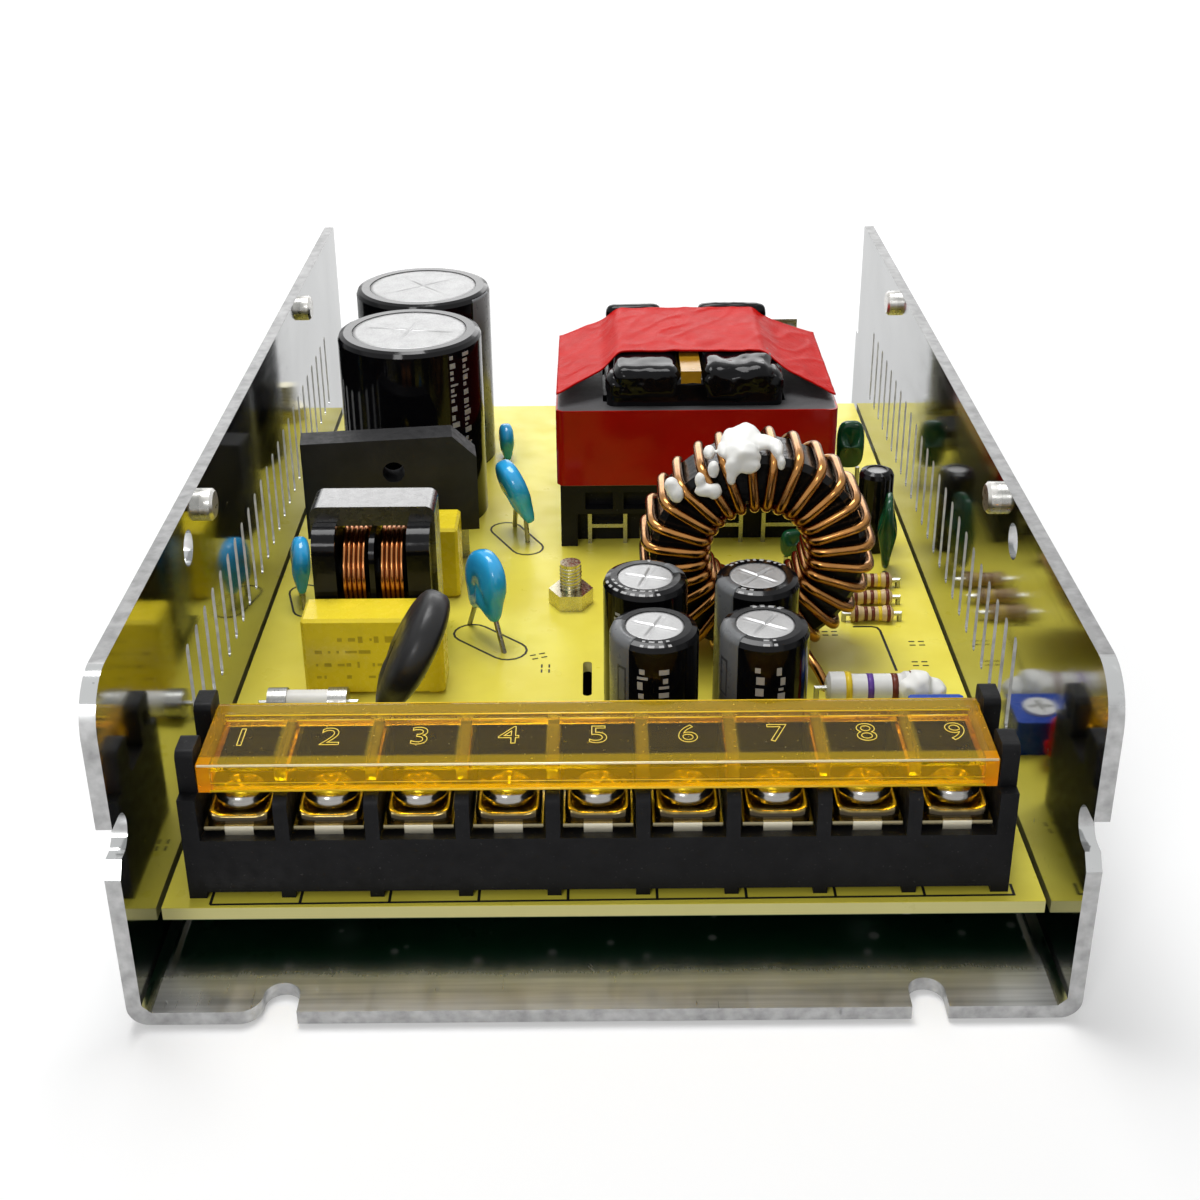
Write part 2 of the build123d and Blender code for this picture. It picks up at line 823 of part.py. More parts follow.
# Winding: two halves either side of a strip, around the centre leg, bulging over the core
winding_top = ferrite_top + bulge_h
roof_left = window_left + roof_from_left
roof_right = window_right - roof_from_right
strip_x = window_x - strip_off
with BuildPart() as transformer_winding:
    with BuildSketch(Plane.XZ.offset(-(trans_y + window_d / 2 - bulge_start))):
        with Locations((window_x, ferrite_base)):
            Rectangle(window_w - 2 * bulge_start, ferrite_h, align=(Align.CENTER, Align.MIN))
    extrude(amount=window_d - 2 * bulge_start)
    with BuildSketch(Plane.XZ.offset(-(trans_y + bulge_d / 2))):
        with BuildLine():
            Polyline(
                (window_left + bulge_start, ferrite_top),
                (window_left + bulge_start, winding_top - bulge_fall_left),
                (roof_left, winding_top), (roof_right, winding_top),
                (window_right - bulge_start, winding_top - bulge_fall_right),
                (window_right - bulge_start, ferrite_top),
                close=True,
            )
        make_face()
    extrude(amount=bulge_d)
    bulge_rims = (
        transformer_winding.edges().filter_by(Axis.X).group_by(Axis.Z)[-1]
    )
    chamfer(bulge_rims, bulge_soft)
    with Locations((window_x, trans_y, ferrite_mid)):
        Box(window_w + 1, centre_leg_d + 0.1, centre_leg_h + 0.1, mode=Mode.SUBTRACT)
    with Locations((strip_x, trans_y, ferrite_top + strip_lift)):
        Box(
            gap_strip_w, bulge_d + 1, bulge_h,
            align=(Align.CENTER, Align.CENTER, Align.MIN), mode=Mode.SUBTRACT,
        )
save(transformer_winding, "transformer_winding")

with BuildPart() as transformer_gap_strip:
    with Locations((strip_x, trans_y, ferrite_top + strip_lift)):
        Box(
            gap_strip_w - 2 * press_fit, bulge_d - 2 * strip_sunk, bulge_h - strip_lift - strip_sunk,
            align=(Align.CENTER, Align.CENTER, Align.MIN),
        )
save(transformer_gap_strip, "transformer_gap_strip")

# Tape over the top, pinched to the middle where it crosses the winding: x, y, width, z
wrap_stations = [
    (trans_left + 0.1, trans_y - 1.6, wrap_left_w, ferrite_top + wrap_left_lift),
    (window_left, trans_y + 1.4, wrap_knee_w, winding_top - bulge_fall_left + wrap_knee_over),
    (roof_left, trans_y + 2.4, wrap_roof_w, winding_top + wrap_over),
    (roof_right, trans_y + 2.4, wrap_roof_w, winding_top + wrap_over),
    (window_right, trans_y + 2.0, wrap_knee_w, winding_top - bulge_fall_right + wrap_knee_over),
    (trans_right - 0.1, trans_y + 0.9, wrap_right_w, ferrite_top + wrap_right_lift),
]
with BuildPart() as transformer_tape_wrap:
    for x, y, width, z in wrap_stations:
        with BuildSketch(Plane((x, y, z), x_dir=(0, 1, 0), z_dir=(1, 0, 0))):
            Rectangle(width, tape_t)
    loft(ruled=True)
save(transformer_tape_wrap, "transformer_tape_wrap")

# Pins: bright staples in the bobbin's pockets, standing on the board
with BuildPart() as transformer_pins:
    for side in (-1, 1):
        pin_y = trans_y + side * (base_d / 2 - 2 * staple_wire)
        with BuildSketch(Plane.XZ.offset(-(pin_y + staple_wire / 2))):
            with Locations((trans_x, top)):
                with GridLocations(base_w / 4.6, 1, staple_count, 1):
                    Rectangle(staple_w, staple_h, align=(Align.CENTER, Align.MIN))
            with Locations((trans_x, top)):
                with GridLocations(base_w / 4.6, 1, staple_count, 1):
                    Rectangle(
                        staple_w - 2 * staple_wire, staple_h / 2,
                        align=(Align.CENTER, Align.MIN), mode=Mode.SUBTRACT,
                    )
            with Locations((trans_x, top + staple_h / 2 + staple_wire)):
                with GridLocations(base_w / 4.6, 1, staple_count, 1):
                    Rectangle(
                        staple_w - 2 * staple_wire, staple_h,
                        align=(Align.CENTER, Align.MIN), mode=Mode.SUBTRACT,
                    )
        extrude(amount=staple_wire)
save(transformer_pins, "transformer_pins")

# Line choke: closed ferrite frame with a spool on its middle bar
choke_x = from_left(choke_from_left)
choke_y = from_front(choke_from_front)
choke_base = top + choke_foot_h
choke_mid = choke_base + choke_h / 2
choke_window_w = choke_w - 2 * choke_limb
choke_window_h = choke_h - 2 * choke_limb
with BuildPart() as choke_core:
    with BuildSketch(Plane.XZ.offset(-(choke_y + choke_d / 2))):
        with Locations((choke_x, choke_mid)):
            RectangleRounded(choke_w, choke_h, choke_r)
            Rectangle(choke_window_w, choke_window_h, mode=Mode.SUBTRACT)
    extrude(amount=choke_d)
    with BuildSketch(Plane.YZ.offset(choke_x - choke_window_w / 2)):
        with Locations((choke_y, choke_mid)):
            Circle(spool_r - spool_wall - running_gap)
    extrude(amount=choke_window_w)
save(choke_core, "choke_core")

# Bobbin: a spool with a flange between the coils, and end cheeks that wrap the frame's limbs
spool_l = choke_window_w - 2 * clip_gap
cheek_l = (choke_w - spool_l) / 2 - cheek_inset + flange_t
coil_r = choke_window_h / 2 - coil_under
bay = (spool_l - 3 * flange_t) / 2
bay_starts = [choke_x - spool_l / 2 + flange_t, choke_x + flange_t / 2]
with BuildPart() as choke_bobbin:
    with BuildSketch(Plane.YZ.offset(choke_x - spool_l / 2)):
        with Locations((choke_y, choke_mid)):
            Circle(spool_r)
    extrude(amount=spool_l)
    with BuildSketch(Plane.YZ.offset(choke_x - flange_t / 2)):
        with Locations((choke_y, choke_mid)):
            RectangleRounded(flange_d, choke_window_h - 2 * flange_short, cheek_r)
    extrude(amount=flange_t)
    for start in (choke_x - choke_w / 2 + cheek_inset, choke_x + spool_l / 2 - flange_t):
        with BuildSketch(Plane.YZ.offset(start)):
            with Locations((choke_y, choke_mid)):
                RectangleRounded(cheek_d, choke_window_h + 2 * cheek_over, cheek_r)
        extrude(amount=cheek_l)
    with BuildSketch(Plane.XZ.offset(-(choke_y + choke_d / 2 + clip_gap))):
        with Locations((choke_x, choke_mid)):
            Rectangle(choke_w + 1, choke_h + 1)
            Rectangle(spool_l, choke_window_h - 2 * clip_gap, mode=Mode.SUBTRACT)
    extrude(amount=choke_d + 2 * clip_gap, mode=Mode.SUBTRACT)
    with BuildSketch(Plane.YZ.offset(choke_x - spool_l / 2)):
        with Locations((choke_y, choke_mid)):
            Circle(spool_r - spool_wall)
    extrude(amount=spool_l, mode=Mode.SUBTRACT)
save(choke_bobbin, "choke_bobbin")

with BuildPart() as choke_foot:
    with Locations((choke_x, choke_y, top)):
        Box(choke_w, choke_foot_d, choke_foot_h, align=(Align.CENTER, Align.CENTER, Align.MIN))
save(choke_foot, "choke_foot")

with BuildPart() as choke_windings:
    for start in bay_starts:
        low = start + coil_play
        ridge = (bay - 2 * coil_play) / ridges
        crest = []
        for n in range(ridges):
            crest.append((low + n * ridge, coil_r - ridge_depth))
            crest.append((low + (n + 0.5) * ridge, coil_r))
        crest.append((low + bay - 2 * coil_play, coil_r - ridge_depth))
        with BuildSketch(Plane((0, choke_y, choke_mid), x_dir=(1, 0, 0), z_dir=(0, 0, 1))):
            with BuildLine():
                Polyline(
                    (low, spool_r + coil_play), *crest,
                    (low + bay - 2 * coil_play, spool_r + coil_play), close=True,
                )
            make_face()
        revolve(axis=Axis((0, choke_y, choke_mid), (1, 0, 0)))
save(choke_windings, "choke_windings")

# Box film capacitors, on small corner feet
for label, depth, away in (
    ("front_film_capacitor", front_film_d, front_film_from_front),
    ("rear_film_capacitor", rear_film_d, rear_film_from_front),
):
    with BuildPart() as film_capacitor:
        with Locations((from_left(film_from_left), from_front(away), top + film_foot)):
            Box(
                film_w, depth, film_h - film_foot,
                align=(Align.CENTER, Align.CENTER, Align.MIN),
            )
        rims = (
            film_capacitor.edges().filter_by(Axis.Z)
            + film_capacitor.edges().group_by(Axis.Z)[-1]
        )
        chamfer(rims, film_bevel)
        with Locations((from_left(film_from_left), from_front(away), top)):
            with GridLocations(film_w - film_foot_in_x, depth - film_foot_in_y, 2, 2):
                Box(
                    film_foot_side, film_foot_side, film_foot,
                    align=(Align.CENTER, Align.CENTER, Align.MIN),
                )
    save(film_capacitor, label)

# Bridge rectifier
rect_x = from_left(rect_from_left)
rect_y = from_front(rect_from_front)
rect_plane = Plane((rect_x, rect_y, top)).rotated((0, 0, rect_turn))
rect_front = Plane(
    rect_plane.from_local_coords((0, rect_t / 2, 0)),
    x_dir=rect_plane.x_dir, z_dir=-rect_plane.y_dir,
)
with BuildPart() as bridge_rectifier:
    with BuildSketch(rect_front) as outline:
        with Locations((0, rect_lift)):
            Rectangle(rect_w, rect_h, align=(Align.CENTER, Align.MIN))
        chamfer(outline.vertices().group_by(Axis.Y)[-1].sort_by(Axis.X)[-1], rect_bevel)
        with Locations((rect_hole_off, rect_lift + rect_h * rect_hole_share)):
            Circle(rect_hole_r, mode=Mode.SUBTRACT)
    extrude(amount=rect_t)
save(bridge_rectifier, "bridge_rectifier")
with BuildPart() as rectifier_leads:
    with BuildSketch(rect_plane):
        with GridLocations(rect_lead_pitch, 1, 4, 1):
            Rectangle(rect_lead_w, rect_lead_t)
    extrude(amount=rect_lift)
save(rectifier_leads, "rectifier_leads")


def disc_with_leads(spot, radius, thick, centre_h, turn, lean, spread):
    """A coated disc on two wires; the wires enter its rim and splay towards the board."""
    along = Vector(math.cos(math.radians(turn)), math.sin(math.radians(turn)), 0)
    level = along.cross(Vector(0, 0, 1))
    tilt = math.radians(lean)
    up = Vector(0, 0, 1) * math.cos(tilt) + level * math.sin(tilt)
    disc_plane = Plane((spot[0], spot[1], top + centre_h), x_dir=along, z_dir=along.cross(up))
    with BuildPart() as leads:
        for side in (-1, 1):
            grip = disc_plane.from_local_coords(
                (side * radius * lead_grip_side, -radius * lead_grip_down, 0)
            )
            foot = Vector(grip.X, grip.Y, top) + along * side * spread
            run = grip - foot
            stub = foot - run.normalized() * lead_r * 2
            with BuildSketch(Plane(stub, z_dir=run)) as wire:
                Circle(lead_r)
            extrude(wire.sketch, amount=(grip - stub).length)
        split(bisect_by=Plane.XY.offset(top), keep=Keep.TOP)
    with BuildPart() as disc:
        with BuildSketch(disc_plane.offset(-thick / 2)) as face:
            Circle(radius)
        extrude(face.sketch, amount=thick)
        chamfer(disc.edges().filter_by(GeomType.CIRCLE), thick * disc_edge_share)
        add(leads.part, mode=Mode.SUBTRACT)
    return disc.part, leads.part


# Blue disc capacitors: place, radius, thickness, height, turn, lean, splay of the wires
discs = []
disc_wires = []
for disc_size in (
    ((from_left(31.45), from_front(58.25)), 4.2, 3.2, 9.0, 123, 4, 2.9),
    ((from_left(33.8), from_front(90.7)), 4.4, 3.2, 8.3, 112, -18, 1.0),
    ((from_left(31.1), from_front(121.3)), 2.6, 2.4, 3.6, 100, 0, 0.4),
    ((from_left(4.4), from_front(69.2)), 3.4, 2.6, 6.7, 105, 5, 0.8),
):
    disc, wires = disc_with_leads(*disc_size)
    discs.append(disc)
    disc_wires.append(wires)
with BuildPart() as disc_capacitors:
    add(discs)
save(disc_capacitors, "disc_capacitors")
with BuildPart() as disc_capacitor_leads:
    add(disc_wires)
save(disc_capacitor_leads, "disc_capacitor_leads")

# Thermistor: a leaning disc, seen nearly edge on
thermistor, thermistor_wires = disc_with_leads(
    (from_left(thermistor_from_left), from_front(thermistor_from_front)),
    thermistor_r, thermistor_t, thermistor_h, 90, thermistor_lean, thermistor_splay,
)
with BuildPart() as thermistor_disc:
    add(thermistor)
with BuildPart() as thermistor_leads:
    add(thermistor_wires)
save(thermistor_disc, "thermistor_disc")
save(thermistor_leads, "thermistor_leads")

# Green film capacitors: dipped boxes on two wires
green_sizes = [
    ((from_right(6.3), from_front(108.1)), 4.4, 3.2, 3.5, 8.1, 0),
    ((from_right(5.1), from_front(77.1)), 6.0, 2.8, 1.1, 11.4, 80),
    ((from_right(18.8), from_front(79.6)), 3.1, 2.2, 1.6, 4.2, 20),
]
with BuildPart() as green_capacitors:
    for (x, y), width, depth, lift, tall, turn in green_sizes:
        with BuildSketch(Plane((x, y, top + lift)).rotated((0, 0, turn))):
            RectangleRounded(width, depth, depth * 0.4)
        extrude(amount=tall)
    chamfer(green_capacitors.edges().filter_by(Axis.Z, reverse=True), green_bevel)
save(green_capacitors, "green_capacitors")
with BuildPart() as green_capacitor_leads:
    for (x, y), width, depth, lift, tall, turn in green_sizes:
        with BuildSketch(Plane((x, y, top)).rotated((0, 0, turn))):
            with GridLocations(width - green_lead_in, 1, 2, 1):
                Circle(lead_r)
        extrude(amount=lift)
save(green_capacitor_leads, "green_capacitor_leads")

# Small electrolytic beside the transformer
small_cap_spot = [(from_right(5.7), from_front(85.6))]
with BuildPart() as small_capacitor_can:
    place_turned(small_cap_spot, can_profile(small_cap_r - sleeve_t, small_cap_h - sleeve_t))
save(small_capacitor_can, "small_capacitor_can")
with BuildPart() as small_capacitor_sleeve:
    place_turned(small_cap_spot, sleeve_profile(small_cap_r, small_cap_h, small_cap_lip))
save(small_capacitor_sleeve, "small_capacitor_sleeve")


def resistor_profile(radius, length):
    """Half section of a resistor body: two cups and a slimmer waist."""
    half = length / 2
    cup = length * 0.2
    return [
        (-half, 0), (-half, radius * 0.6), (-half + 0.4, radius), (-half + cup, radius),
        (-half + cup + 0.5, radius * 0.86), (half - cup - 0.5, radius * 0.86),
        (half - cup, radius), (half - 0.4, radius), (half, radius * 0.6), (half, 0),
    ]


def lay_resistor(x, y, radius, length, lift):
    """Revolve one resistor body about its own axis, lying across the board."""
    with BuildSketch(Plane((x, y, top + lift), x_dir=(1, 0, 0), z_dir=(0, -1, 0))) as section:
        with BuildLine():
            Polyline(*resistor_profile(radius, length), close=True)
        make_face()
    revolve(section.sketch, axis=Axis((x, y, top + lift), (1, 0, 0)))


def bend_leads(x, y, length, lift, reach):
    """Two wires that leave a lying body and turn down to the board."""
    for side in (-1, 1):
        start = (x + side * length / 2, y, top + lift)
        corner = (x + side * (length / 2 + reach), y, top + lift)
        foot = (x + side * (length / 2 + reach), y, top)
        with BuildLine() as bend:
            Polyline(start, corner, foot)
        with BuildSketch(Plane(origin=start, z_dir=(side, 0, 0))) as wire:
            RegularPolygon(lead_r, 6)
        sweep(wire.sketch, path=bend.line, transition=Transition.RIGHT)


small_resistor_spots = [
    (from_right(9.3), from_front(62.1)),
    (from_right(8.7), from_front(67.0)),
    (from_right(7.9), from_front(72.2)),
]
with BuildPart() as small_resistors:
    for x, y in small_resistor_spots:
        lay_resistor(x, y, resistor_r, resistor_l, resistor_r)
save(small_resistors, "small_resistors")
with BuildPart() as small_resistor_leads:
    for x, y in small_resistor_spots:
        bend_leads(x, y, resistor_l, resistor_r, small_reach)
save(small_resistor_leads, "small_resistor_leads")

# Large banded resistor in front of the toroid
load_x = from_right(12.3)
load_y = from_front(39.9)
with BuildPart() as load_resistor:
    lay_resistor(load_x, load_y, load_r, load_l, load_lift)
save(load_resistor, "load_resistor")
with BuildPart() as load_resistor_leads:
    bend_leads(load_x, load_y, load_l, load_lift, load_reach)
save(load_resistor_leads, "load_resistor_leads")

# Output voltage trimmer: a box with a rotor in its socket
trimmer_x = from_right(5.8)
trimmer_y = from_front(31.3)
with BuildPart() as trimmer_body:
    with Locations((trimmer_x, trimmer_y, top)):
        Box(trimmer_side, trimmer_side, trimmer_h, align=(Align.CENTER, Align.CENTER, Align.MIN))
    chamfer(trimmer_body.edges().filter_by(Axis.Z), body_bevel)
    with BuildSketch(Plane.XY.offset(top + trimmer_h - rotor_h)):
        with Locations((trimmer_x, trimmer_y)):
            Circle(rotor_r + running_gap)
    extrude(amount=rotor_h, mode=Mode.SUBTRACT)
save(trimmer_body, "trimmer_body")
with BuildPart() as trimmer_rotor:
    with BuildSketch(Plane.XY.offset(top + trimmer_h - rotor_h + running_gap)):
        with Locations((trimmer_x, trimmer_y)):
            Circle(rotor_r)
    extrude(amount=rotor_h + rotor_proud - running_gap)
    with Locations((trimmer_x, trimmer_y, top + trimmer_h + rotor_proud)):
        Box(cross_w, cross_l, cross_w, align=(Align.CENTER, Align.CENTER, Align.MAX), mode=Mode.SUBTRACT)
        Box(cross_l, cross_w, cross_w, align=(Align.CENTER, Align.CENTER, Align.MAX), mode=Mode.SUBTRACT)
save(trimmer_rotor, "trimmer_rotor")

# Indicator lamp on two wires
lamp_x = from_right(7.1)
lamp_y = from_front(25.6)
with BuildPart() as indicator_lamp:
    with BuildSketch(Plane((lamp_x, lamp_y, top + lamp_lift), x_dir=(1, 0, 0), z_dir=(0, -1, 0))):
        with BuildLine():
            Polyline(
                (0, 0), (lamp_r + lamp_rim, 0), (lamp_r + lamp_rim, lamp_rim_h), (lamp_r, lamp_rim_h),
                (lamp_r, lamp_h - lamp_r),
            )
            ThreePointArc(
                (lamp_r, lamp_h - lamp_r),
                (lamp_r * math.sin(math.pi / 4), lamp_h - lamp_r * (1 - math.cos(math.pi / 4))),
                (0, lamp_h),
            )
            Line((0, lamp_h), (0, 0))
        make_face()
    revolve(axis=Axis((lamp_x, lamp_y, 0), (0, 0, 1)))
save(indicator_lamp, "indicator_lamp")
with BuildPart() as lamp_leads:
    with BuildSketch(Plane.XY.offset(top)):
        with Locations((lamp_x, lamp_y)):
            with GridLocations(lamp_lead_pitch, 1, 2, 1):
                Rectangle(lamp_lead_w, lamp_lead_w)
    extrude(amount=lamp_lift)
save(lamp_leads, "lamp_leads")

# Fuse lying behind the terminal block, with end caps and bent wires
fuse_x = from_left(10.0)
fuse_y = from_front(38.0)
fuse_lift = fuse_cap_r + fuse_cap_t
with BuildPart() as fuse_tube:
    with BuildSketch(Plane.YZ.offset(fuse_x - fuse_l / 2 + fuse_end_t)):
        with Locations((fuse_y, top + fuse_lift)):
            Circle(fuse_cap_r - fuse_cap_t)
    extrude(amount=fuse_l - 2 * fuse_end_t)
save(fuse_tube, "fuse_tube")
with BuildPart() as fuse_caps:
    for side in (-1, 1):
        cap_start = fuse_x + side * (fuse_l / 2 - fuse_cap_l / 2) - fuse_cap_l / 2
        with BuildSketch(Plane.YZ.offset(cap_start)):
            with Locations((fuse_y, top + fuse_lift)):
                Circle(fuse_cap_r)
        extrude(amount=fuse_cap_l)
    with BuildSketch(Plane.YZ.offset(fuse_x - fuse_l / 2 + fuse_end_t)):
        with Locations((fuse_y, top + fuse_lift)):
            Circle(fuse_cap_r - fuse_cap_t)
    extrude(amount=fuse_l - 2 * fuse_end_t, mode=Mode.SUBTRACT)
    bend_leads(fuse_x, fuse_y, fuse_l, fuse_lift, fuse_reach)
save(fuse_caps, "fuse_caps")

# Behind the transformer: an upright heat sink with three tabbed packages
sink_x = from_right(28.5)
sink_y = from_front(139.5)
package_x = [sink_x + (n - 1) * package_pitch for n in range(3)]
package_top = top + package_lift + package_h + tab_h
with BuildPart() as heat_sink:
    with BuildSketch(Plane.YZ.offset(sink_x - sink_w / 2)):
        with BuildLine():
            Polyline(
                (sink_y, top), (sink_y + sink_foot, top), (sink_y + sink_foot, top + sink_t),
                (sink_y + sink_t, top + sink_t), (sink_y + sink_t, package_top + sink_over),
                (sink_y, package_top + sink_over), close=True,
            )
        make_face()
    extrude(amount=sink_w)
save(heat_sink, "heat_sink")
with BuildPart() as package_tabs:
    for x in package_x:
        with BuildSketch(Plane.XZ.offset(-sink_y)):
            with Locations((x, top + package_lift)):
                Rectangle(package_w, package_h + tab_h, align=(Align.CENTER, Align.MIN))
            with Locations((x, package_top - tab_hole_down)):
                Circle(tab_hole_r, mode=Mode.SUBTRACT)
        extrude(amount=tab_t)
save(package_tabs, "package_tabs")
with BuildPart() as package_bodies:
    for x in package_x:
        with BuildSketch(Plane.XZ.offset(-sink_y + tab_t)):
            with Locations((x, top + package_lift)):
                Rectangle(package_w, package_h, align=(Align.CENTER, Align.MIN))
        extrude(amount=package_t - tab_t)
    fronts = package_bodies.faces().filter_by(Axis.Y).sort_by(Axis.Y)[:3]
    chamfer([edge for face in fronts for edge in face.edges()], body_bevel)
save(package_bodies, "package_bodies")
with BuildPart() as package_leads:
    with BuildSketch(Plane.XY.offset(top)):
        for x in package_x:
            with Locations((x, sink_y - package_t * 0.6)):
                with GridLocations(package_lead_pitch, 1, 3, 1):
                    Rectangle(package_lead_w, package_lead_t)
    extrude(amount=package_lift)
save(package_leads, "package_leads")

# Driver transformer: a small wound former in a ferrite frame
driver_x = from_right(39.0)
driver_y = from_front(127.8)
with BuildPart() as driver_core:
    with BuildSketch(Plane.XZ.offset(-(driver_y + driver_core_d / 2))):
        with Locations((driver_x, top + driver_foot + driver_h / 2)):
            Rectangle(driver_w, driver_h)
            Rectangle(driver_w - driver_frame, driver_h - driver_frame, mode=Mode.SUBTRACT)
    extrude(amount=driver_core_d)
save(driver_core, "driver_core")
with BuildPart() as driver_winding:
    with Locations((driver_x, driver_y, top + driver_foot + driver_h / 2)):
        Box(
            driver_w - driver_frame - 2 * running_gap, driver_winding_d,
            driver_h - driver_frame - 2 * running_gap,
        )
    chamfer(driver_winding.edges().filter_by(Axis.Z), driver_winding_bevel)
save(driver_winding, "driver_winding")
with BuildPart() as driver_foot_block:
    with Locations((driver_x, driver_y, top)):
        Box(
            driver_w - driver_foot_in, driver_foot_d, driver_foot,
            align=(Align.CENTER, Align.CENTER, Align.MIN),
        )
save(driver_foot_block, "driver_foot_block")

# Control chip on its two rows of pins
chip_x = from_right(21.0)
chip_y = from_front(126.5)
with BuildPart() as control_chip:
    with Locations((chip_x, chip_y, top + chip_lift)):
        Box(chip_l, chip_w, chip_t, align=(Align.CENTER, Align.CENTER, Align.MIN))
    chamfer(control_chip.faces().sort_by(Axis.Z)[-1].edges(), body_bevel)
save(control_chip, "control_chip")
with BuildPart() as chip_pins:
    with BuildSketch(Plane.XY.offset(top)):
        with Locations((chip_x, chip_y)):
            with GridLocations(package_lead_pitch, chip_w + chip_pin_out, chip_pins_a_row, 2):
                Rectangle(package_lead_w, package_lead_t)
    extrude(amount=chip_lift + chip_t * 0.5)
save(chip_pins, "chip_pins")
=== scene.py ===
# %% [markdown]
# # Dressing an open power supply
#
# The supply is a folded aluminium channel with a yellow board in it, a black screw terminal at
# the front with a clear amber flap, and the parts of a switching converter behind. The solids
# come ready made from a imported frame. This lesson gives each of them its finish, and rebuilds
# the wound, dipped and taped pieces, whose soft forms the solids only hint at.

import math
import random

import bmesh
import bpy
from mathutils import Matrix, Vector, noise


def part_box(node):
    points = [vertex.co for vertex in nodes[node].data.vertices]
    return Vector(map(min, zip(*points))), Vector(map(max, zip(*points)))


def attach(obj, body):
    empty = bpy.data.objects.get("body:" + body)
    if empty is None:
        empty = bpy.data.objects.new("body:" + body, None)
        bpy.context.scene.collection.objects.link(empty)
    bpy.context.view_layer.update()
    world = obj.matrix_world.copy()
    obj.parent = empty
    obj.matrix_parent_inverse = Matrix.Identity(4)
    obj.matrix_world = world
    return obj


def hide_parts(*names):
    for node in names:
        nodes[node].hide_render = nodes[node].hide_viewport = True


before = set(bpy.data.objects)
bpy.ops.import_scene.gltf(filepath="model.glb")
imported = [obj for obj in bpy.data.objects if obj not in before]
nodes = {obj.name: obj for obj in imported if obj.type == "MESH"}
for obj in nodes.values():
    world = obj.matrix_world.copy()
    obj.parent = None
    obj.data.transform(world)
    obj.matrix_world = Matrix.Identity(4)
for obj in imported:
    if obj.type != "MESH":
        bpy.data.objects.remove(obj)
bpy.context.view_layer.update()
mm = 0.001
board_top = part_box("circuit_board")[1].z
print("nodes:", len(nodes), "board top at", round(board_top / mm, 2), "mm")


# %% [markdown]
# ## The camera
#
# The photograph was taken from the terminal end, about 13 cm before it and 12 cm up, looking
# down by 26 degrees. Such a near camera makes the strong perspective of the walls. The lens and
# the small vertical shift were fitted to the edges of the case.

# %% Camera
lens_mm = 49.84
sensor_mm = 36.0
camera_place = (0.00006, -0.21221, 0.11947)
look_aside = 0.04
look_down = 25.884
roll_angle = -0.498
frame_shift = -0.0516


def in_scene(name, data):
    """Put data in the scene as an object of that name."""
    piece = bpy.data.objects.new(name, data)
    bpy.context.scene.collection.objects.link(piece)
    return piece


camera_data = bpy.data.cameras.new("view_camera")
camera_data.lens = lens_mm
camera_data.sensor_width = sensor_mm
camera_data.shift_y = frame_shift
camera = in_scene("view_camera", camera_data)
camera.matrix_world = (
    Matrix.Translation(camera_place)
    @ Matrix.Rotation(math.radians(look_aside), 4, "Z")
    @ Matrix.Rotation(math.radians(90 - look_down), 4, "X")
    @ Matrix.Rotation(math.radians(roll_angle), 4, "Z")
)
bpy.context.scene.camera = camera


# %% [markdown]
# ## Shader helpers
#
# Every finish starts as one Principled shader, and small helpers wire noise into its colour,
# roughness and bump. Reading the object's own coordinates keeps a pattern fixed to the metal or
# the plastic, whatever the view. Sizes are given in features per metre, so a scale of 4000 is a
# grain of a quarter of a millimetre. Each finished material is kept under its name in finishes.

# %% Shader helpers
finishes = {}


def grey(level):
    return (level, level, level)


class Wiring:
    """Short ways to add nodes to a shader tree and to link them."""

    def __init__(self, tree):
        self.tree = tree

    def new(self, kind):
        return self.tree.nodes.new("ShaderNode" + kind)

    def link(self, output, socket):
        self.tree.links.new(output, socket)

    def span(self, value, low, high, low_out=0.0, high_out=1.0):
        """Map a value from low..high to low_out..high_out, clamped."""
        node = self.new("MapRange")
        node.inputs["From Min"].default_value = low
        node.inputs["From Max"].default_value = high
        node.inputs["To Min"].default_value = low_out
        node.inputs["To Max"].default_value = high_out
        self.link(value, node.inputs["Value"])
        return node.outputs["Result"]

    def by_share(self, share, none, full):
        """A number that goes from none to full as a share goes from 0 to 1."""
        return self.span(share, 0.0, 1.0, none, full)

    def math(self, operation, first, second=0.0):
        node = self.new("Math")
        node.operation = operation
        for socket, value in zip(node.inputs, (first, second)):
            if isinstance(value, (int, float)):
                socket.default_value = value
            else:
                self.link(value, socket)
        return node.outputs["Value"]

    def together(self, operation, first, *others):
        """Take several values together two by two, as in a sum."""
        for other in others:
            first = self.math(operation, first, other)
        return first


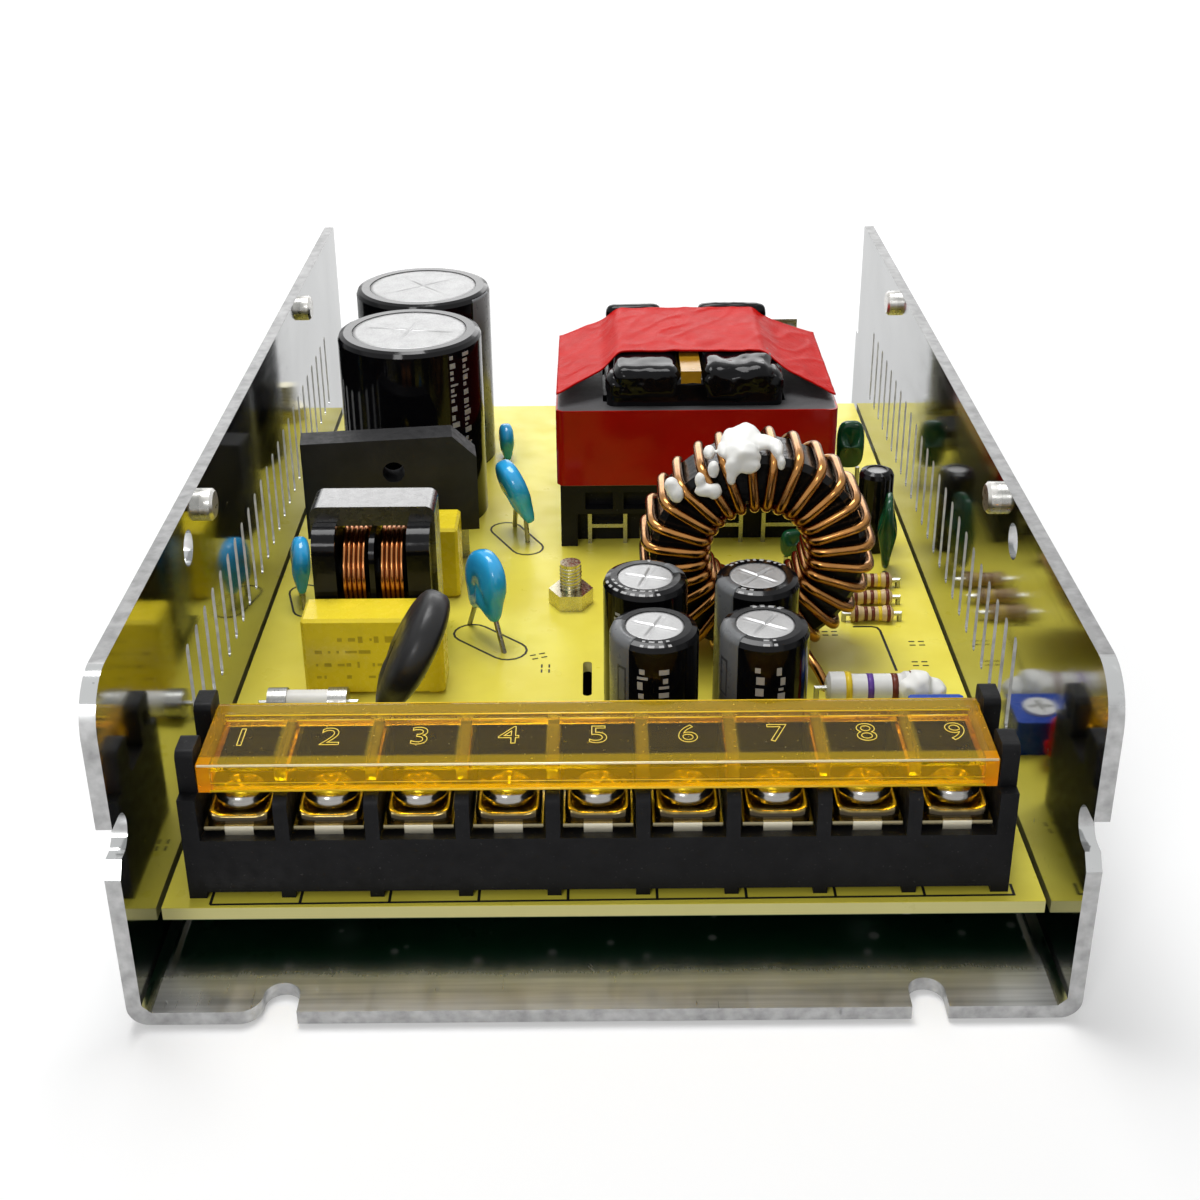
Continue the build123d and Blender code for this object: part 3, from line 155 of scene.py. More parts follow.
class Finish(Wiring):
    """One Principled material and the few wiring steps that the finishes share."""

    def __init__(self, name, colour, roughness, metallic=0.0, **sockets):
        self.material = finishes[name] = bpy.data.materials.new(name)
        self.material.use_nodes = True
        super().__init__(self.material.node_tree)
        self.shader = self.tree.nodes["Principled BSDF"]
        self.shader.inputs["Base Color"].default_value = (*colour, 1.0)
        self.shader.inputs["Roughness"].default_value = roughness
        self.shader.inputs["Metallic"].default_value = metallic
        for socket, value in sockets.items():
            self.shader.inputs[socket.replace("_", " ")].default_value = value
        self.place = self.new("TexCoord").outputs["Object"]
        self.last_bump = None

    def mapped(self, stretch=(1, 1, 1), turn=(0, 0, 0)):
        """Object coordinates, turned and stretched."""
        mapping = self.new("Mapping")
        mapping.vector_type = "TEXTURE"
        mapping.inputs["Rotation"].default_value = turn
        mapping.inputs["Scale"].default_value = [1 / s for s in stretch]
        self.link(self.place, mapping.inputs["Vector"])
        return mapping.outputs["Vector"]

    def noise(self, scale, detail=3.0, stretch=(1, 1, 1), turn=(0, 0, 0), distortion=0.0):
        node = self.new("TexNoise")
        node.inputs["Scale"].default_value = scale
        node.inputs["Detail"].default_value = detail
        node.inputs["Distortion"].default_value = distortion
        self.link(self.mapped(stretch, turn), node.inputs["Vector"])
        return node.outputs["Fac"]

    def cells(self, scale):
        """How far a point is from the nearest of many scattered spots."""
        node = self.new("TexVoronoi")
        node.inputs["Scale"].default_value = scale
        self.link(self.mapped(), node.inputs["Vector"])
        return node.outputs["Distance"]

    def wave(self, scale, axis):
        node = self.new("TexWave")
        node.bands_direction = axis
        node.inputs["Scale"].default_value = scale
        self.link(self.place, node.inputs["Vector"])
        return node.outputs["Fac"]

    def along(self, axis):
        """One object coordinate, in metres."""
        node = self.new("SeparateXYZ")
        self.link(self.place, node.inputs["Vector"])
        return node.outputs[axis]

    def facing(self, axis):
        """How squarely the surface looks along an axis, either way."""
        node = self.new("SeparateXYZ")
        self.link(self.new("NewGeometry").outputs["Normal"], node.inputs["Vector"])
        return self.math("ABSOLUTE", node.outputs[axis])

    def colour_mix(self, share, first, second):
        """Blend two colours, each a triple or an output."""
        node = self.new("Mix")
        node.data_type = "RGBA"
        self.link(share, node.inputs["Factor"])
        for socket, value in (("A", first), ("B", second)):
            port = [s for s in node.inputs if s.name == socket and s.type == "RGBA"][0]
            if isinstance(value, tuple):
                port.default_value = (*value, 1.0)
            else:
                self.link(value, port)
        return [s for s in node.outputs if s.type == "RGBA"][0]

    def colour(self, output):
        self.link(output, self.shader.inputs["Base Color"])

    def rough(self, output):
        self.link(output, self.shader.inputs["Roughness"])

    def bump(self, height, strength, depth_mm):
        """Add one layer of relief, on top of those before it."""
        node = self.new("Bump")
        node.inputs["Strength"].default_value = strength
        node.inputs["Distance"].default_value = depth_mm * mm
        self.link(height, node.inputs["Height"])
        if self.last_bump is not None:
            self.link(self.last_bump, node.inputs["Normal"])
        self.last_bump = node.outputs["Normal"]
        self.link(self.last_bump, self.shader.inputs["Normal"])


def moulded(name, colour, roughness, grain, relief, drift, dust=0.0, shine=0.25, **sockets):
    """A moulded or dipped finish: slow colour drift, fine grain and a little dust.

    grain is in features per metre and relief in millimetres. shine is the specular level,
    where 0.5 is ordinary plastic in a bright room."""
    finish = Finish(name, colour, roughness, Specular_IOR_Level=shine, **sockets)
    slow = finish.noise(220, 4.0)
    light = tuple(min(1.0, c * (1 + drift)) for c in colour)
    dark = tuple(c * (1 - drift) for c in colour)
    tone = finish.colour_mix(finish.span(slow, 0.3, 0.7), dark, light)
    if dust:
        spots = finish.span(finish.noise(2600, 2.0), 0.68, 0.76, 0.0, dust)
        tone = finish.colour_mix(spots, tone, (0.62, 0.60, 0.56))
    finish.colour(tone)
    worn = finish.noise(900, 5.0)
    finish.rough(finish.span(worn, 0.3, 0.7, roughness * 0.8, min(1.0, roughness * 1.25)))
    finish.bump(finish.noise(grain), 0.6, relief)


def metal(name, colour, roughness, grain, relief, stretch=(1, 1, 1), tarnish=0.0):
    """A metal finish: slow dulling, and a fine grain that also makes its gloss uneven.

    tarnish is how much darker than usual the dull patches are."""
    finish = Finish(name, colour, roughness, 1.0)
    slow = finish.noise(350, 5.0)
    dull = tuple(c * (0.86 - tarnish) for c in colour)
    finish.colour(finish.colour_mix(finish.span(slow, 0.35, 0.7), colour, dull))
    grit = finish.noise(grain, 4.0, stretch)
    finish.rough(finish.span(grit, 0.25, 0.75, roughness * 0.7, roughness * 1.4))
    finish.bump(grit, 0.5, relief)
    return finish


# %% [markdown]
# ## The case's sheet
#
# Cheap bright aluminium sheet is nearly a mirror, and it is that mirror that shows the board
# twice over in the photograph. What stops it being perfect is a faint rolling grain, a few
# short scratches from handling, dull finger marks and tiny dark pits. The base is scuffed in
# front of the board, where a screwdriver slips. Sheared edges scatter the light and carry small
# nicks. Those that look to the front or the rear are pale. Those at the very front are painted
# darker, and the tops of the walls darkest: this is painted shade on the same cut metal.

# %% Sheet aluminium
case_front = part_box("chassis")[0].y
case_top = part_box("chassis")[1].z


def sheet_aluminium():
    finish = Finish("bright_sheet", (0.58, 0.59, 0.59), 0.08, 1.0, Specular_Tint=(*grey(0.80), 1.0))
    cloud = finish.span(finish.noise(38, 5.0, distortion=0.6), 0.35, 0.7)
    tone = finish.colour_mix(cloud, (0.55, 0.56, 0.56), (0.46, 0.47, 0.47))
    pits = finish.span(finish.noise(1300), 0.68, 0.76, 0.0, 0.5)
    tone = finish.colour_mix(pits, tone, grey(0.25))

    length, height = finish.along("Y"), finish.along("Z")
    low = finish.span(height, 1.7 * mm, 2.2 * mm, 1.0, 0.0)
    near = finish.span(length, case_front + 5.0 * mm, case_front + 10.0 * mm, 1.0, 0.0)
    scuffed = finish.math("MULTIPLY", low, near)
    brushed = finish.span(finish.noise(260, 5.0, (0.12, 4.0, 4.0)), 0.30, 0.75)
    scuff_tone = finish.colour_mix(brushed, (0.36, 0.36, 0.35), (0.64, 0.64, 0.63))
    tone = finish.colour_mix(scuffed, tone, scuff_tone)

    cut_across = finish.span(finish.facing("Y"), 0.80, 0.95)
    cut_top = finish.span(height, case_top - 0.05 * mm, case_top - 0.01 * mm)
    sheared = finish.math("MAXIMUM", cut_across, cut_top)
    # Painted shade: sheared edges at the very front take a darker tone, and the tops of the walls the
    # darkest.
    at_front = finish.span(length, case_front + 4.5 * mm, case_front + 5.5 * mm, 1.0, 0.0)
    nicks = finish.span(finish.noise(650, 6.0), 0.35, 0.75)
    pale_cut = finish.colour_mix(nicks, grey(0.80), grey(0.54))
    shaded_front_cut = finish.colour_mix(nicks, grey(0.50), grey(0.30))
    shaded_top_cut = finish.colour_mix(nicks, grey(0.33), grey(0.19))
    cut_tone_and_shade = finish.colour_mix(cut_top, finish.colour_mix(at_front, pale_cut, shaded_front_cut), shaded_top_cut)
    finish.colour(finish.colour_mix(sheared, tone, cut_tone_and_shade))

    grain = finish.noise(900, 3.0, (8.0, 0.15, 8.0))
    smear = finish.noise(140, 6.0, (1.0, 0.35, 1.0), distortion=1.2)
    specks = finish.span(finish.noise(420, 5.0, (2.5, 0.5, 1.0), (0.3, 0.1, 0.6)), 0.70, 0.78)
    finish.rough(finish.together(
        "ADD",
        finish.span(smear, 0.3, 0.75, 0.04, 0.11), finish.span(grain, 0.3, 0.7, 0.0, 0.03),
        finish.by_share(specks, 0.0, 0.25), finish.by_share(scuffed, 0.0, 0.22),
        finish.by_share(sheared, 0.0, 0.34),
    ))
    finish.bump(grain, 0.25, 0.004)
    finish.bump(finish.noise(60, 2.0), 0.4, 0.05)


sheet_aluminium()
print("case's front at", round(case_front / mm, 1), "mm, its top at", round(case_top / mm, 1), "mm")


# %% [markdown]
# ## The board's laminate
#
# The top of the board is bare yellow laminate with black print, and the underside is green with
# the solder mask. One material can do both: the height above the case tells it which side it is
# on. Copper on the other side shows through thin laminate as slightly paler islands, and the
# glass weave as a faint grid.

# %% Board laminate
def board_laminate():
    finish = Finish("yellow_laminate", (0.80, 0.71, 0.09), 0.34, Specular_IOR_Level=0.30)
    islands = finish.span(finish.cells(70), 0.25, 0.55)
    tone = finish.colour_mix(islands, (0.84, 0.75, 0.10), (0.78, 0.68, 0.075))
    fibre = finish.noise(260, 6.0)
    tone = finish.colour_mix(finish.span(fibre, 0.45, 0.75, 0.0, 0.35), tone, (0.70, 0.60, 0.07))
    height = finish.along("Z")
    edge = finish.span(height, board_top - 0.12 * mm, board_top - 0.02 * mm, 1.0, 0.0)
    tone = finish.colour_mix(edge, tone, (0.78, 0.72, 0.30))
    under = finish.span(height, board_top - 1.58 * mm, board_top - 1.50 * mm, 1.0, 0.0)
    solder = finish.span(finish.cells(260), 0.12, 0.18, 1.0, 0.0)
    green = finish.colour_mix(solder, (0.008, 0.055, 0.022), (0.30, 0.31, 0.28))
    finish.colour(finish.colour_mix(under, tone, green))
    finish.rough(finish.span(fibre, 0.3, 0.7, 0.26, 0.42))
    finish.bump(finish.math("MULTIPLY", finish.wave(700, "X"), finish.wave(700, "Y")), 0.15, 0.01)


board_laminate()


# %% [markdown]
# ## Clear amber plastic
#
# The flap is a clear moulding: light passes through and takes the amber tint on the way, so the
# board and the black block behind it turn olive and brown. Its index of refraction is set low,
# because the real wall is thin and hardly bends the view. A slight haze makes it glow a little
# itself. The haze is stronger in the rear strip, in the front lip and in the two end blocks,
# where the plastic is thicker, most of all in the two front corners. There it is also painted
# light: its glow stands for the light that those edges catch and carry inside. Over the barriers
# the haze is raised as well, which makes the flap lighter in stripes there.

# %% Amber plastic
flap_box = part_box("terminal_cover")
flap_left = -42.2
flap_right = 41.2
way_pitch = 9.5
way_middle = -0.5


def x_in_ways(finish):
    """X counted in ways of the terminal from the middle one."""
    from_middle = finish.math("SUBTRACT", finish.along("X"), way_middle * mm)
    return finish.math("DIVIDE", from_middle, way_pitch * mm)


def off_half(finish, value):
    """How far the fraction of a value is from a half."""
    return finish.math("ABSOLUTE", finish.by_share(finish.math("FRACT", value), -0.5, 0.5))


def amber_plastic():
    finish = Finish("amber_clear", (1.0, 0.72, 0.05), 0.03, IOR=1.20, Specular_IOR_Level=0.2)
    length = finish.along("Y")
    lip = finish.span(length, flap_box[0].y + 1.5 * mm, flap_box[0].y + 1.9 * mm, 1.0, 0.0)
    middle = (flap_left + flap_right) / 2 * mm
    half = (flap_right - flap_left) / 2 * mm
    from_middle = finish.math("ABSOLUTE", finish.math("SUBTRACT", finish.along("X"), middle))
    ends = finish.span(from_middle, half - 1.6 * mm, half - 1.3 * mm)
    corner = finish.math("MULTIPLY", ends, lip)
    streak = finish.span(finish.noise(60, 3.0, (0.3, 1.0, 1.0)), 0.3, 0.7)
    tone = finish.colour_mix(streak, (1.0, 0.74, 0.06), (1.0, 0.68, 0.03))
    for share, amber in ((lip, (1.0, 0.66, 0.0)), (ends, (1.0, 0.60, 0.03)), (corner, (1.0, 0.42, 0.0))):
        tone = finish.colour_mix(share, tone, amber)
    finish.colour(tone)

    # Painted light, in part: the extra haze below glows where the lip, the ends and the corners catch
    # light, and those parts are also thicker. Over the barriers it makes lighter stripes.
    over_wall = finish.span(off_half(finish, x_in_ways(finish)), 0.055, 0.085, 0.11, 0.0)
    rear = finish.span(length, flap_box[1].y - 3.6 * mm, flap_box[1].y - 3.3 * mm, 0.0, 0.20)
    lip_low = flap_box[0].z
    lip_haze_and_painted_glow = finish.span(finish.along("Z"), lip_low + 0.9 * mm, lip_low + 1.3 * mm, 0.24, 0.22)
    haze_and_painted_glow = finish.together(
        "MAXIMUM", over_wall, rear, finish.math("MULTIPLY", lip, lip_haze_and_painted_glow),
        finish.by_share(ends, 0.0, 0.14), finish.by_share(corner, 0.0, 0.45),
    )
    finish.link(finish.math("SUBTRACT", 0.99, haze_and_painted_glow), finish.shader.inputs["Transmission Weight"])
    dust = finish.span(finish.noise(1700), 0.68, 0.74)
    finish.rough(finish.by_share(dust, 0.03, 0.4))


amber_plastic()
print("flap", round((flap_box[1].x - flap_box[0].x) / mm, 1), "mm wide")


# %% [markdown]
# ## The rest of the palette
#
# Most of the other surfaces differ only in colour, gloss and grain, so the two helpers make
# them: mouldings and dips on one side, metals on the other. The numbers after the colour are
# the roughness, the grain per metre, the relief in millimetres and the drift of the colour.
# Lacquered copper is a metal with a clear coat over it.

# %% Palette
moulded("black_moulding", (0.007, 0.007, 0.008), 0.46, 2600, 0.03, 0.3, dust=0.05, shine=0.13)
moulded("black_gloss", (0.004, 0.004, 0.005), 0.13, 1500, 0.015, 0.2, shine=0.18)
moulded("black_epoxy", (0.020, 0.020, 0.021), 0.50, 3800, 0.03, 0.2, shine=0.20)
moulded("black_dip", (0.013, 0.013, 0.014), 0.36, 700, 0.05, 0.2, shine=0.30)
moulded("core_coat", (0.005, 0.005, 0.005), 0.14, 1100, 0.14, 0.3, shine=0.14)
moulded("ferrite", (0.085, 0.085, 0.088), 0.36, 3500, 0.03, 0.2, shine=0.4)
moulded("choke_ferrite", (0.022, 0.021, 0.021), 0.26, 2400, 0.02, 0.2, shine=1.0,
        Coat_Weight=0.8, Coat_Roughness=0.2)
moulded("sleeve_black", (0.003, 0.003, 0.004), 0.10, 800, 0.015, 0.2, shine=0.20)
moulded("stripe_grey", (0.14, 0.145, 0.15), 0.30, 1500, 0.01, 0.08)
moulded("stripe_dark", (0.05, 0.05, 0.055), 0.30, 1500, 0.01, 0.08)
moulded("mark_pale", (0.42, 0.42, 0.42), 0.40, 1500, 0.01, 0.06)
moulded("red_band", (0.33, 0.006, 0.003), 0.10, 200, 0.015, 0.06, shine=0.16)
moulded("red_tape", (0.52, 0.008, 0.006), 0.28, 300, 0.02, 0.08, shine=0.02)
moulded("winding_tape", (0.003, 0.003, 0.004), 0.10, 500, 0.02, 0.3, shine=0.14)
moulded("brown_strip", (0.40, 0.21, 0.012), 0.22, 900, 0.03, 0.3, shine=0.4)
moulded("yellow_box", (0.86, 0.68, 0.030), 0.26, 900, 0.01, 0.05, shine=0.4)
moulded("print_ochre", (0.50, 0.38, 0.02), 0.40, 900, 0.01, 0.10)
moulded("blue_dip", (0.030, 0.42, 0.84), 0.12, 420, 0.05, 0.10, shine=0.5)
moulded("green_dip", (0.004, 0.065, 0.025), 0.12, 600, 0.08, 0.3, shine=0.4)
moulded("white_glue", (0.86, 0.86, 0.83), 0.42, 500, 0.08, 0.04)
moulded("board_print", (0.012, 0.012, 0.010), 0.50, 1500, 0.005, 0.2)
moulded("blue_case", (0.01, 0.06, 0.38), 0.28, 1500, 0.02, 0.12)
moulded("white_rotor", (0.80, 0.80, 0.78), 0.40, 1500, 0.02, 0.05)
moulded("red_lens", (0.75, 0.012, 0.008), 0.10, 800, 0.01, 0.1, Transmission_Weight=0.3)
moulded("cream_body", (0.62, 0.46, 0.24), 0.28, 900, 0.02, 0.10)
moulded("pale_body", (0.72, 0.72, 0.70), 0.26, 900, 0.02, 0.05)
moulded("band_brown", (0.14, 0.03, 0.015), 0.30, 900, 0.01, 0.1)
moulded("band_yellow", (0.80, 0.58, 0.03), 0.30, 900, 0.01, 0.1)
moulded("band_violet", (0.12, 0.05, 0.30), 0.30, 900, 0.01, 0.1)
moulded("ceramic", (0.80, 0.79, 0.75), 0.38, 1500, 0.02, 0.05)
moulded("driver_tape", (0.72, 0.52, 0.05), 0.22, 400, 0.05, 0.1)

metal("sink_sheet", (0.50, 0.51, 0.51), 0.24, 900, 0.004, (0.3, 1.0, 5.0))
metal("can_top", (0.37, 0.37, 0.37), 0.46, 4200, 0.004)
metal("plated", (0.66, 0.65, 0.62), 0.30, 1800, 0.0015)
metal("tinned", (0.42, 0.42, 0.40), 0.30, 3500, 0.004)
metal("dull_brass", (0.62, 0.58, 0.42), 0.26, 2600, 0.006, tarnish=0.1)
metal("dark_screw", (0.36, 0.35, 0.33), 0.20, 2600, 0.004)


def clamp_metal():
    """Yellowish plating on top, and painted shade on the faces that look to the front and back."""
    finish = metal("clamp_brass", (0.34, 0.26, 0.10), 0.20, 2600, 0.006)
    patches = finish.span(finish.noise(900, 4.0), 0.4, 0.6)
    tone = finish.colour_mix(patches, (0.34, 0.26, 0.10), (0.22, 0.16, 0.05))
    # Painted shade: faces that look to the front or the back are darkened almost to black, where they
    # would mirror a bright floor.
    shaded_side = finish.span(finish.facing("Y"), 0.70, 0.95)
    finish.colour(finish.colour_mix(shaded_side, tone, (0.055, 0.045, 0.03)))


def plate_metal():
    """A dark plate with a pale tinned tab in the middle of its front edge."""
    finish = metal("plate_nickel", (0.30, 0.27, 0.18), 0.22, 2600, 0.004)
    from_middle = off_half(finish, finish.math("ADD", x_in_ways(finish), 0.5))
    inside = finish.span(from_middle, 0.155, 0.165, 1.0, 0.0)
    ahead = finish.span(finish.along("Y"), -66.5 * mm, -66.3 * mm, 1.0, 0.0)
    tab = finish.math("MULTIPLY", inside, ahead)
    finish.colour(finish.colour_mix(tab, (0.30, 0.26, 0.16), (0.90, 0.84, 0.66)))
    finish.rough(finish.by_share(tab, 0.20, 0.42))


def lacquered_copper(name, colour):
    finish = metal(name, colour, 0.20, 2200, 0.004, tarnish=0.15)
    finish.shader.inputs["Coat Weight"].default_value = 0.15
    finish.shader.inputs["Coat Roughness"].default_value = 0.08


clamp_metal()
plate_metal()
lacquered_copper("copper_wire", (0.42, 0.195, 0.055))
lacquered_copper("choke_copper", (0.50, 0.20, 0.065))
print("finishes:", len(finishes))


# %% [markdown]
# ## Finishes for the solids that stay
#
# Where a solid already has the real piece's shape, it only needs its material. The table names
# every such piece once, under its finish. The solids that finer pieces replace further down get
# theirs too, because they are still there to look at while those pieces are being made.

# %% Finish the solids
solid_finish = {
    "bright_sheet": ["chassis"],
    "sink_sheet": ["heat_sink"],
    "plated": ["press_nuts"],
    "dull_brass": ["board_studs", "board_nuts"],
    "tinned": [
        "transformer_pins", "rectifier_leads", "disc_capacitor_leads", "thermistor_leads",
        "green_capacitor_leads", "small_resistor_leads", "load_resistor_leads", "lamp_leads",
        "fuse_caps", "package_tabs", "package_leads", "chip_pins",
    ],
    "can_top": ["small_capacitor_can", "output_cap_cans", "bulk_cap_cans"],
    "dark_screw": ["terminal_screws"],
    "clamp_brass": ["terminal_clamps"],
    "plate_nickel": ["terminal_plates"],
    "copper_wire": ["toroid_winding"],
    "choke_copper": ["choke_windings"],
    "yellow_laminate": ["circuit_board"],
    "amber_clear": ["terminal_cover"],
    "black_moulding": ["terminal_body", "transformer_bobbin", "choke_foot", "driver_foot_block"],
    "black_gloss": ["choke_bobbin"],
    "black_epoxy": ["bridge_rectifier", "package_bodies", "control_chip"],
    "black_dip": ["thermistor_disc"],
    "sleeve_black": ["output_cap_sleeves", "bulk_cap_sleeves", "small_capacitor_sleeve"],
    "core_coat": ["toroid_core"],
    "ferrite": ["transformer_core", "driver_core"],
    "choke_ferrite": ["choke_core"],
    "red_band": ["transformer_tape_band"],
    "red_tape": ["transformer_tape_wrap"],
    "winding_tape": ["transformer_winding"],
    "driver_tape": ["driver_winding"],
    "brown_strip": ["transformer_gap_strip"],
    "yellow_box": ["front_film_capacitor", "rear_film_capacitor"],
    "blue_dip": ["disc_capacitors"],
    "green_dip": ["green_capacitors"],
    "blue_case": ["trimmer_body"],
    "white_rotor": ["trimmer_rotor"],
    "red_lens": ["indicator_lamp"],
    "cream_body": ["small_resistors"],
    "pale_body": ["load_resistor"],
    "ceramic": ["fuse_tube"],
    "white_glue": ["toroid_glue"],
}
for finish_name, solids in solid_finish.items():
    for solid in solids:
        nodes[solid].data.materials.clear()
        nodes[solid].data.materials.append(finishes[finish_name])
finished = sum(solid_finish.values(), [])
print("finished solids:", len(finished), "left out:", sorted(set(nodes) - set(finished)))


# %% [markdown]
# ## Tools for rules and repeats
#
# A coil, a row of screws and a thread all follow a rule, so Geometry Nodes make them. The
# small Formula class lets Python's own arithmetic place the Math nodes, which keeps a tree
# readable. Each tree has named inputs. The finished mesh is baked into a plain object, and the
# modifier goes, so that nothing is left to evaluate later.

# %% Tools for rules and repeats
class Formula:
    """A number that flows through a node tree."""

    def __init__(self, tree, output):
        self.tree = tree
        self.output = output

    def apply(self, operation, other=None):
        node = self.tree.nodes.new("ShaderNodeMath")
        node.operation = operation
        for socket, value in zip(node.inputs, (self, other)):
            if isinstance(value, Formula):
                self.tree.links.new(value.output, socket)
            elif value is not None:
                socket.default_value = value
        return Formula(self.tree, node.outputs[0])

    def __add__(self, other):
        return self.apply("ADD", other)

    def __sub__(self, other):
        return self.apply("SUBTRACT", other)

    def __mul__(self, other):
        return self.apply("MULTIPLY", other)

    def __truediv__(self, other):
        return self.apply("DIVIDE", other)

    def soft_square(self, power):
        """Keep the sign and raise the size to a power under one, which squares a circle."""
        return self.apply("ABSOLUTE").apply("POWER", power) * self.apply("SIGN")


class Rule:
    """A geometry tree with named inputs that ends in Realize Instances and Set Material."""

    socket_kinds = {
        int: "NodeSocketInt", float: "NodeSocketFloat", tuple: "NodeSocketVector",
        bpy.types.Object: "NodeSocketObject", bpy.types.Material: "NodeSocketMaterial",
    }

    def __init__(self, name, **inputs):
        self.tree = bpy.data.node_groups.new(name, "GeometryNodeTree")
        face = self.tree.interface
        face.new_socket("Geometry", in_out="INPUT", socket_type="NodeSocketGeometry")
        face.new_socket("Geometry", in_out="OUTPUT", socket_type="NodeSocketGeometry")
        self.names = {}
        for label, kind in inputs.items():
            socket = face.new_socket(label, in_out="INPUT", socket_type=self.socket_kinds[kind])
            self.names[label] = socket.identifier
        self.start = self.tree.nodes.new("NodeGroupInput")

    def value(self, label):
        return Formula(self.tree, self.start.outputs[label])

    def index(self):
        return Formula(self.tree, self.tree.nodes.new("GeometryNodeInputIndex").outputs[0])

    def node(self, kind, **links):
        node = self.tree.nodes.new(kind)
        for label, source in links.items():
            socket = node.inputs[label.replace("_", " ")]
            if isinstance(source, Formula):
                self.tree.links.new(source.output, socket)
            elif isinstance(source, bpy.types.NodeSocket):
                self.tree.links.new(source, socket)
            else:
                socket.default_value = source
        return node

    def tube(self, count, position):
        """A capped wire through as many points as count says, at the places of position."""
        line = self.node("GeometryNodeMeshLine", Count=count)
        shaped = self.node("GeometryNodeSetPosition", Geometry=line.outputs[0], Position=position)
        path = self.node("GeometryNodeMeshToCurve", Mesh=shaped.outputs[0])
        section = self.node(
            "GeometryNodeCurvePrimitiveCircle", Resolution=self.value("sides"), Radius=self.value("wire")
        )
        wire = self.node(
            "GeometryNodeCurveToMesh", Curve=path.outputs[0], Profile_Curve=section.outputs[0],
            Fill_Caps=True,
        )
        return wire.outputs[0]

    def end(self, geometry):
        """Close the tree: realize, smooth, paint and send out."""
        real = self.node("GeometryNodeRealizeInstances", Geometry=geometry)
        smooth = self.node("GeometryNodeSetShadeSmooth", Geometry=real.outputs[0])
        painted = self.node(
            "GeometryNodeSetMaterial", Geometry=smooth.outputs[0],
            Material=self.start.outputs["paint"],
        )
        out = self.tree.nodes.new("NodeGroupOutput")
        self.tree.links.new(painted.outputs[0], out.inputs[0])

    def bake(self, name, start_mesh=None, **values):
        """Run the tree on a mesh and return an object that holds the plain result."""
        piece = in_scene(name, start_mesh or bpy.data.meshes.new(name))
        modifier = piece.modifiers.new("rule", "NODES")
        modifier.node_group = self.tree
        for label, value in values.items():
            modifier[self.names[label]] = value
        result = final_mesh(piece)
        piece.modifiers.clear()
        piece.data = result
        result.name = name
        return piece


def final_mesh(piece):
    """What a piece's modifiers or curve settings give, as a plain mesh."""
    bpy.context.view_layer.update()
    graph = bpy.context.evaluated_depsgraph_get()
    return bpy.data.meshes.new_from_object(piece.evaluated_get(graph), depsgraph=graph)


def dressed(name, data, finish_name, smooth=True):
    """An object from a mesh, with one finish on every face."""
    data.materials.clear()
    data.materials.append(finishes[finish_name])
    for face in data.polygons:
        face.use_smooth = smooth
    return in_scene(name, data)


def formed(name, form, finish_name, smooth=False):
    """Turn a form's faces outward and close it into an object."""
    bmesh.ops.recalc_face_normals(form, faces=form.faces)
    data = bpy.data.meshes.new(name)
    form.to_mesh(data)
    form.free()
    return dressed(name, data, finish_name, smooth)


def mesh_piece(name, points, faces, finish_name):
    """A smooth object from millimetre points, with its normals pointing out."""
    mesh = bpy.data.meshes.new(name + "_draft")
    mesh.from_pydata([Vector(p) * mm for p in points], [], faces)
    form = bmesh.new()
    form.from_mesh(mesh)
    bmesh.ops.remove_doubles(form, verts=form.verts, dist=0.002 * mm)
    bpy.data.meshes.remove(mesh)
    return formed(name, form, finish_name, smooth=True)


def joined(name, pieces, finish_name):
    """Put the meshes of several pieces into one smooth object."""
    form = bmesh.new()
    for piece in pieces:
        form.from_mesh(piece.data)
    data = bpy.data.meshes.new(name)
    form.to_mesh(data)
    form.free()
    for piece in pieces:
        bpy.data.objects.remove(piece)
    return dressed(name, data, finish_name)


def seat(piece, body, slot, *replaced):
    """Tell the frame where a finished piece belongs."""
    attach(piece, body)
    if replaced:
        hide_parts(*replaced)
    print(piece.name, "faces:", len(piece.data.polygons))


# %% [markdown]
# ## Round forms and copies
#
# A screw's head, a can's top and a dipped disc are closed forms that can be drawn ring by ring.
# One function asks for a radius and a height at every ring and angle, and gives the points and
# faces. On a flat form the last rings, past top_share, go down its side. A small tree sets
# copies of one piece on a row of points, each turned by the number that its point carries.

# %% Round forms and copies
polar_rings = 14
top_share = 0.93


def soft_step(value, edge, sharpness):
    """1 below an edge and 0 above it, with a smooth change."""
    return 1 / (1 + math.exp((value - edge) * sharpness))


def polar_shell(radii, heights, around):
    """Points and faces of a closed turned or dished form, from rings of radius and height.

    radii and heights are functions of (ring share 0..1, angle)."""
    points = []
    faces = []
    for ring in range(polar_rings + 1):
        for step in range(around):
            angle = 2 * math.pi * step / around
            share = ring / polar_rings
            r = radii(share, angle)
            points.append((r * math.cos(angle), r * math.sin(angle), heights(share, angle)))
    for ring in range(polar_rings):
        for step in range(around):
            a = ring * around + step
            b = ring * around + (step + 1) % around
            faces.append((a, b, b + around, a + around))
    faces.append(tuple(range(around)))
    faces.append(tuple(polar_rings * around + step for step in range(around)))
    return points, faces


def circle(form, x, y, z, radius, around):
    """New points on a circle about an axis that runs along x."""
    angles = [2 * math.pi * k / around for k in range(around)]
    return [
        form.verts.new(Vector((x, y + radius * math.cos(a), z + radius * math.sin(a))) * mm)
        for a in angles
    ]


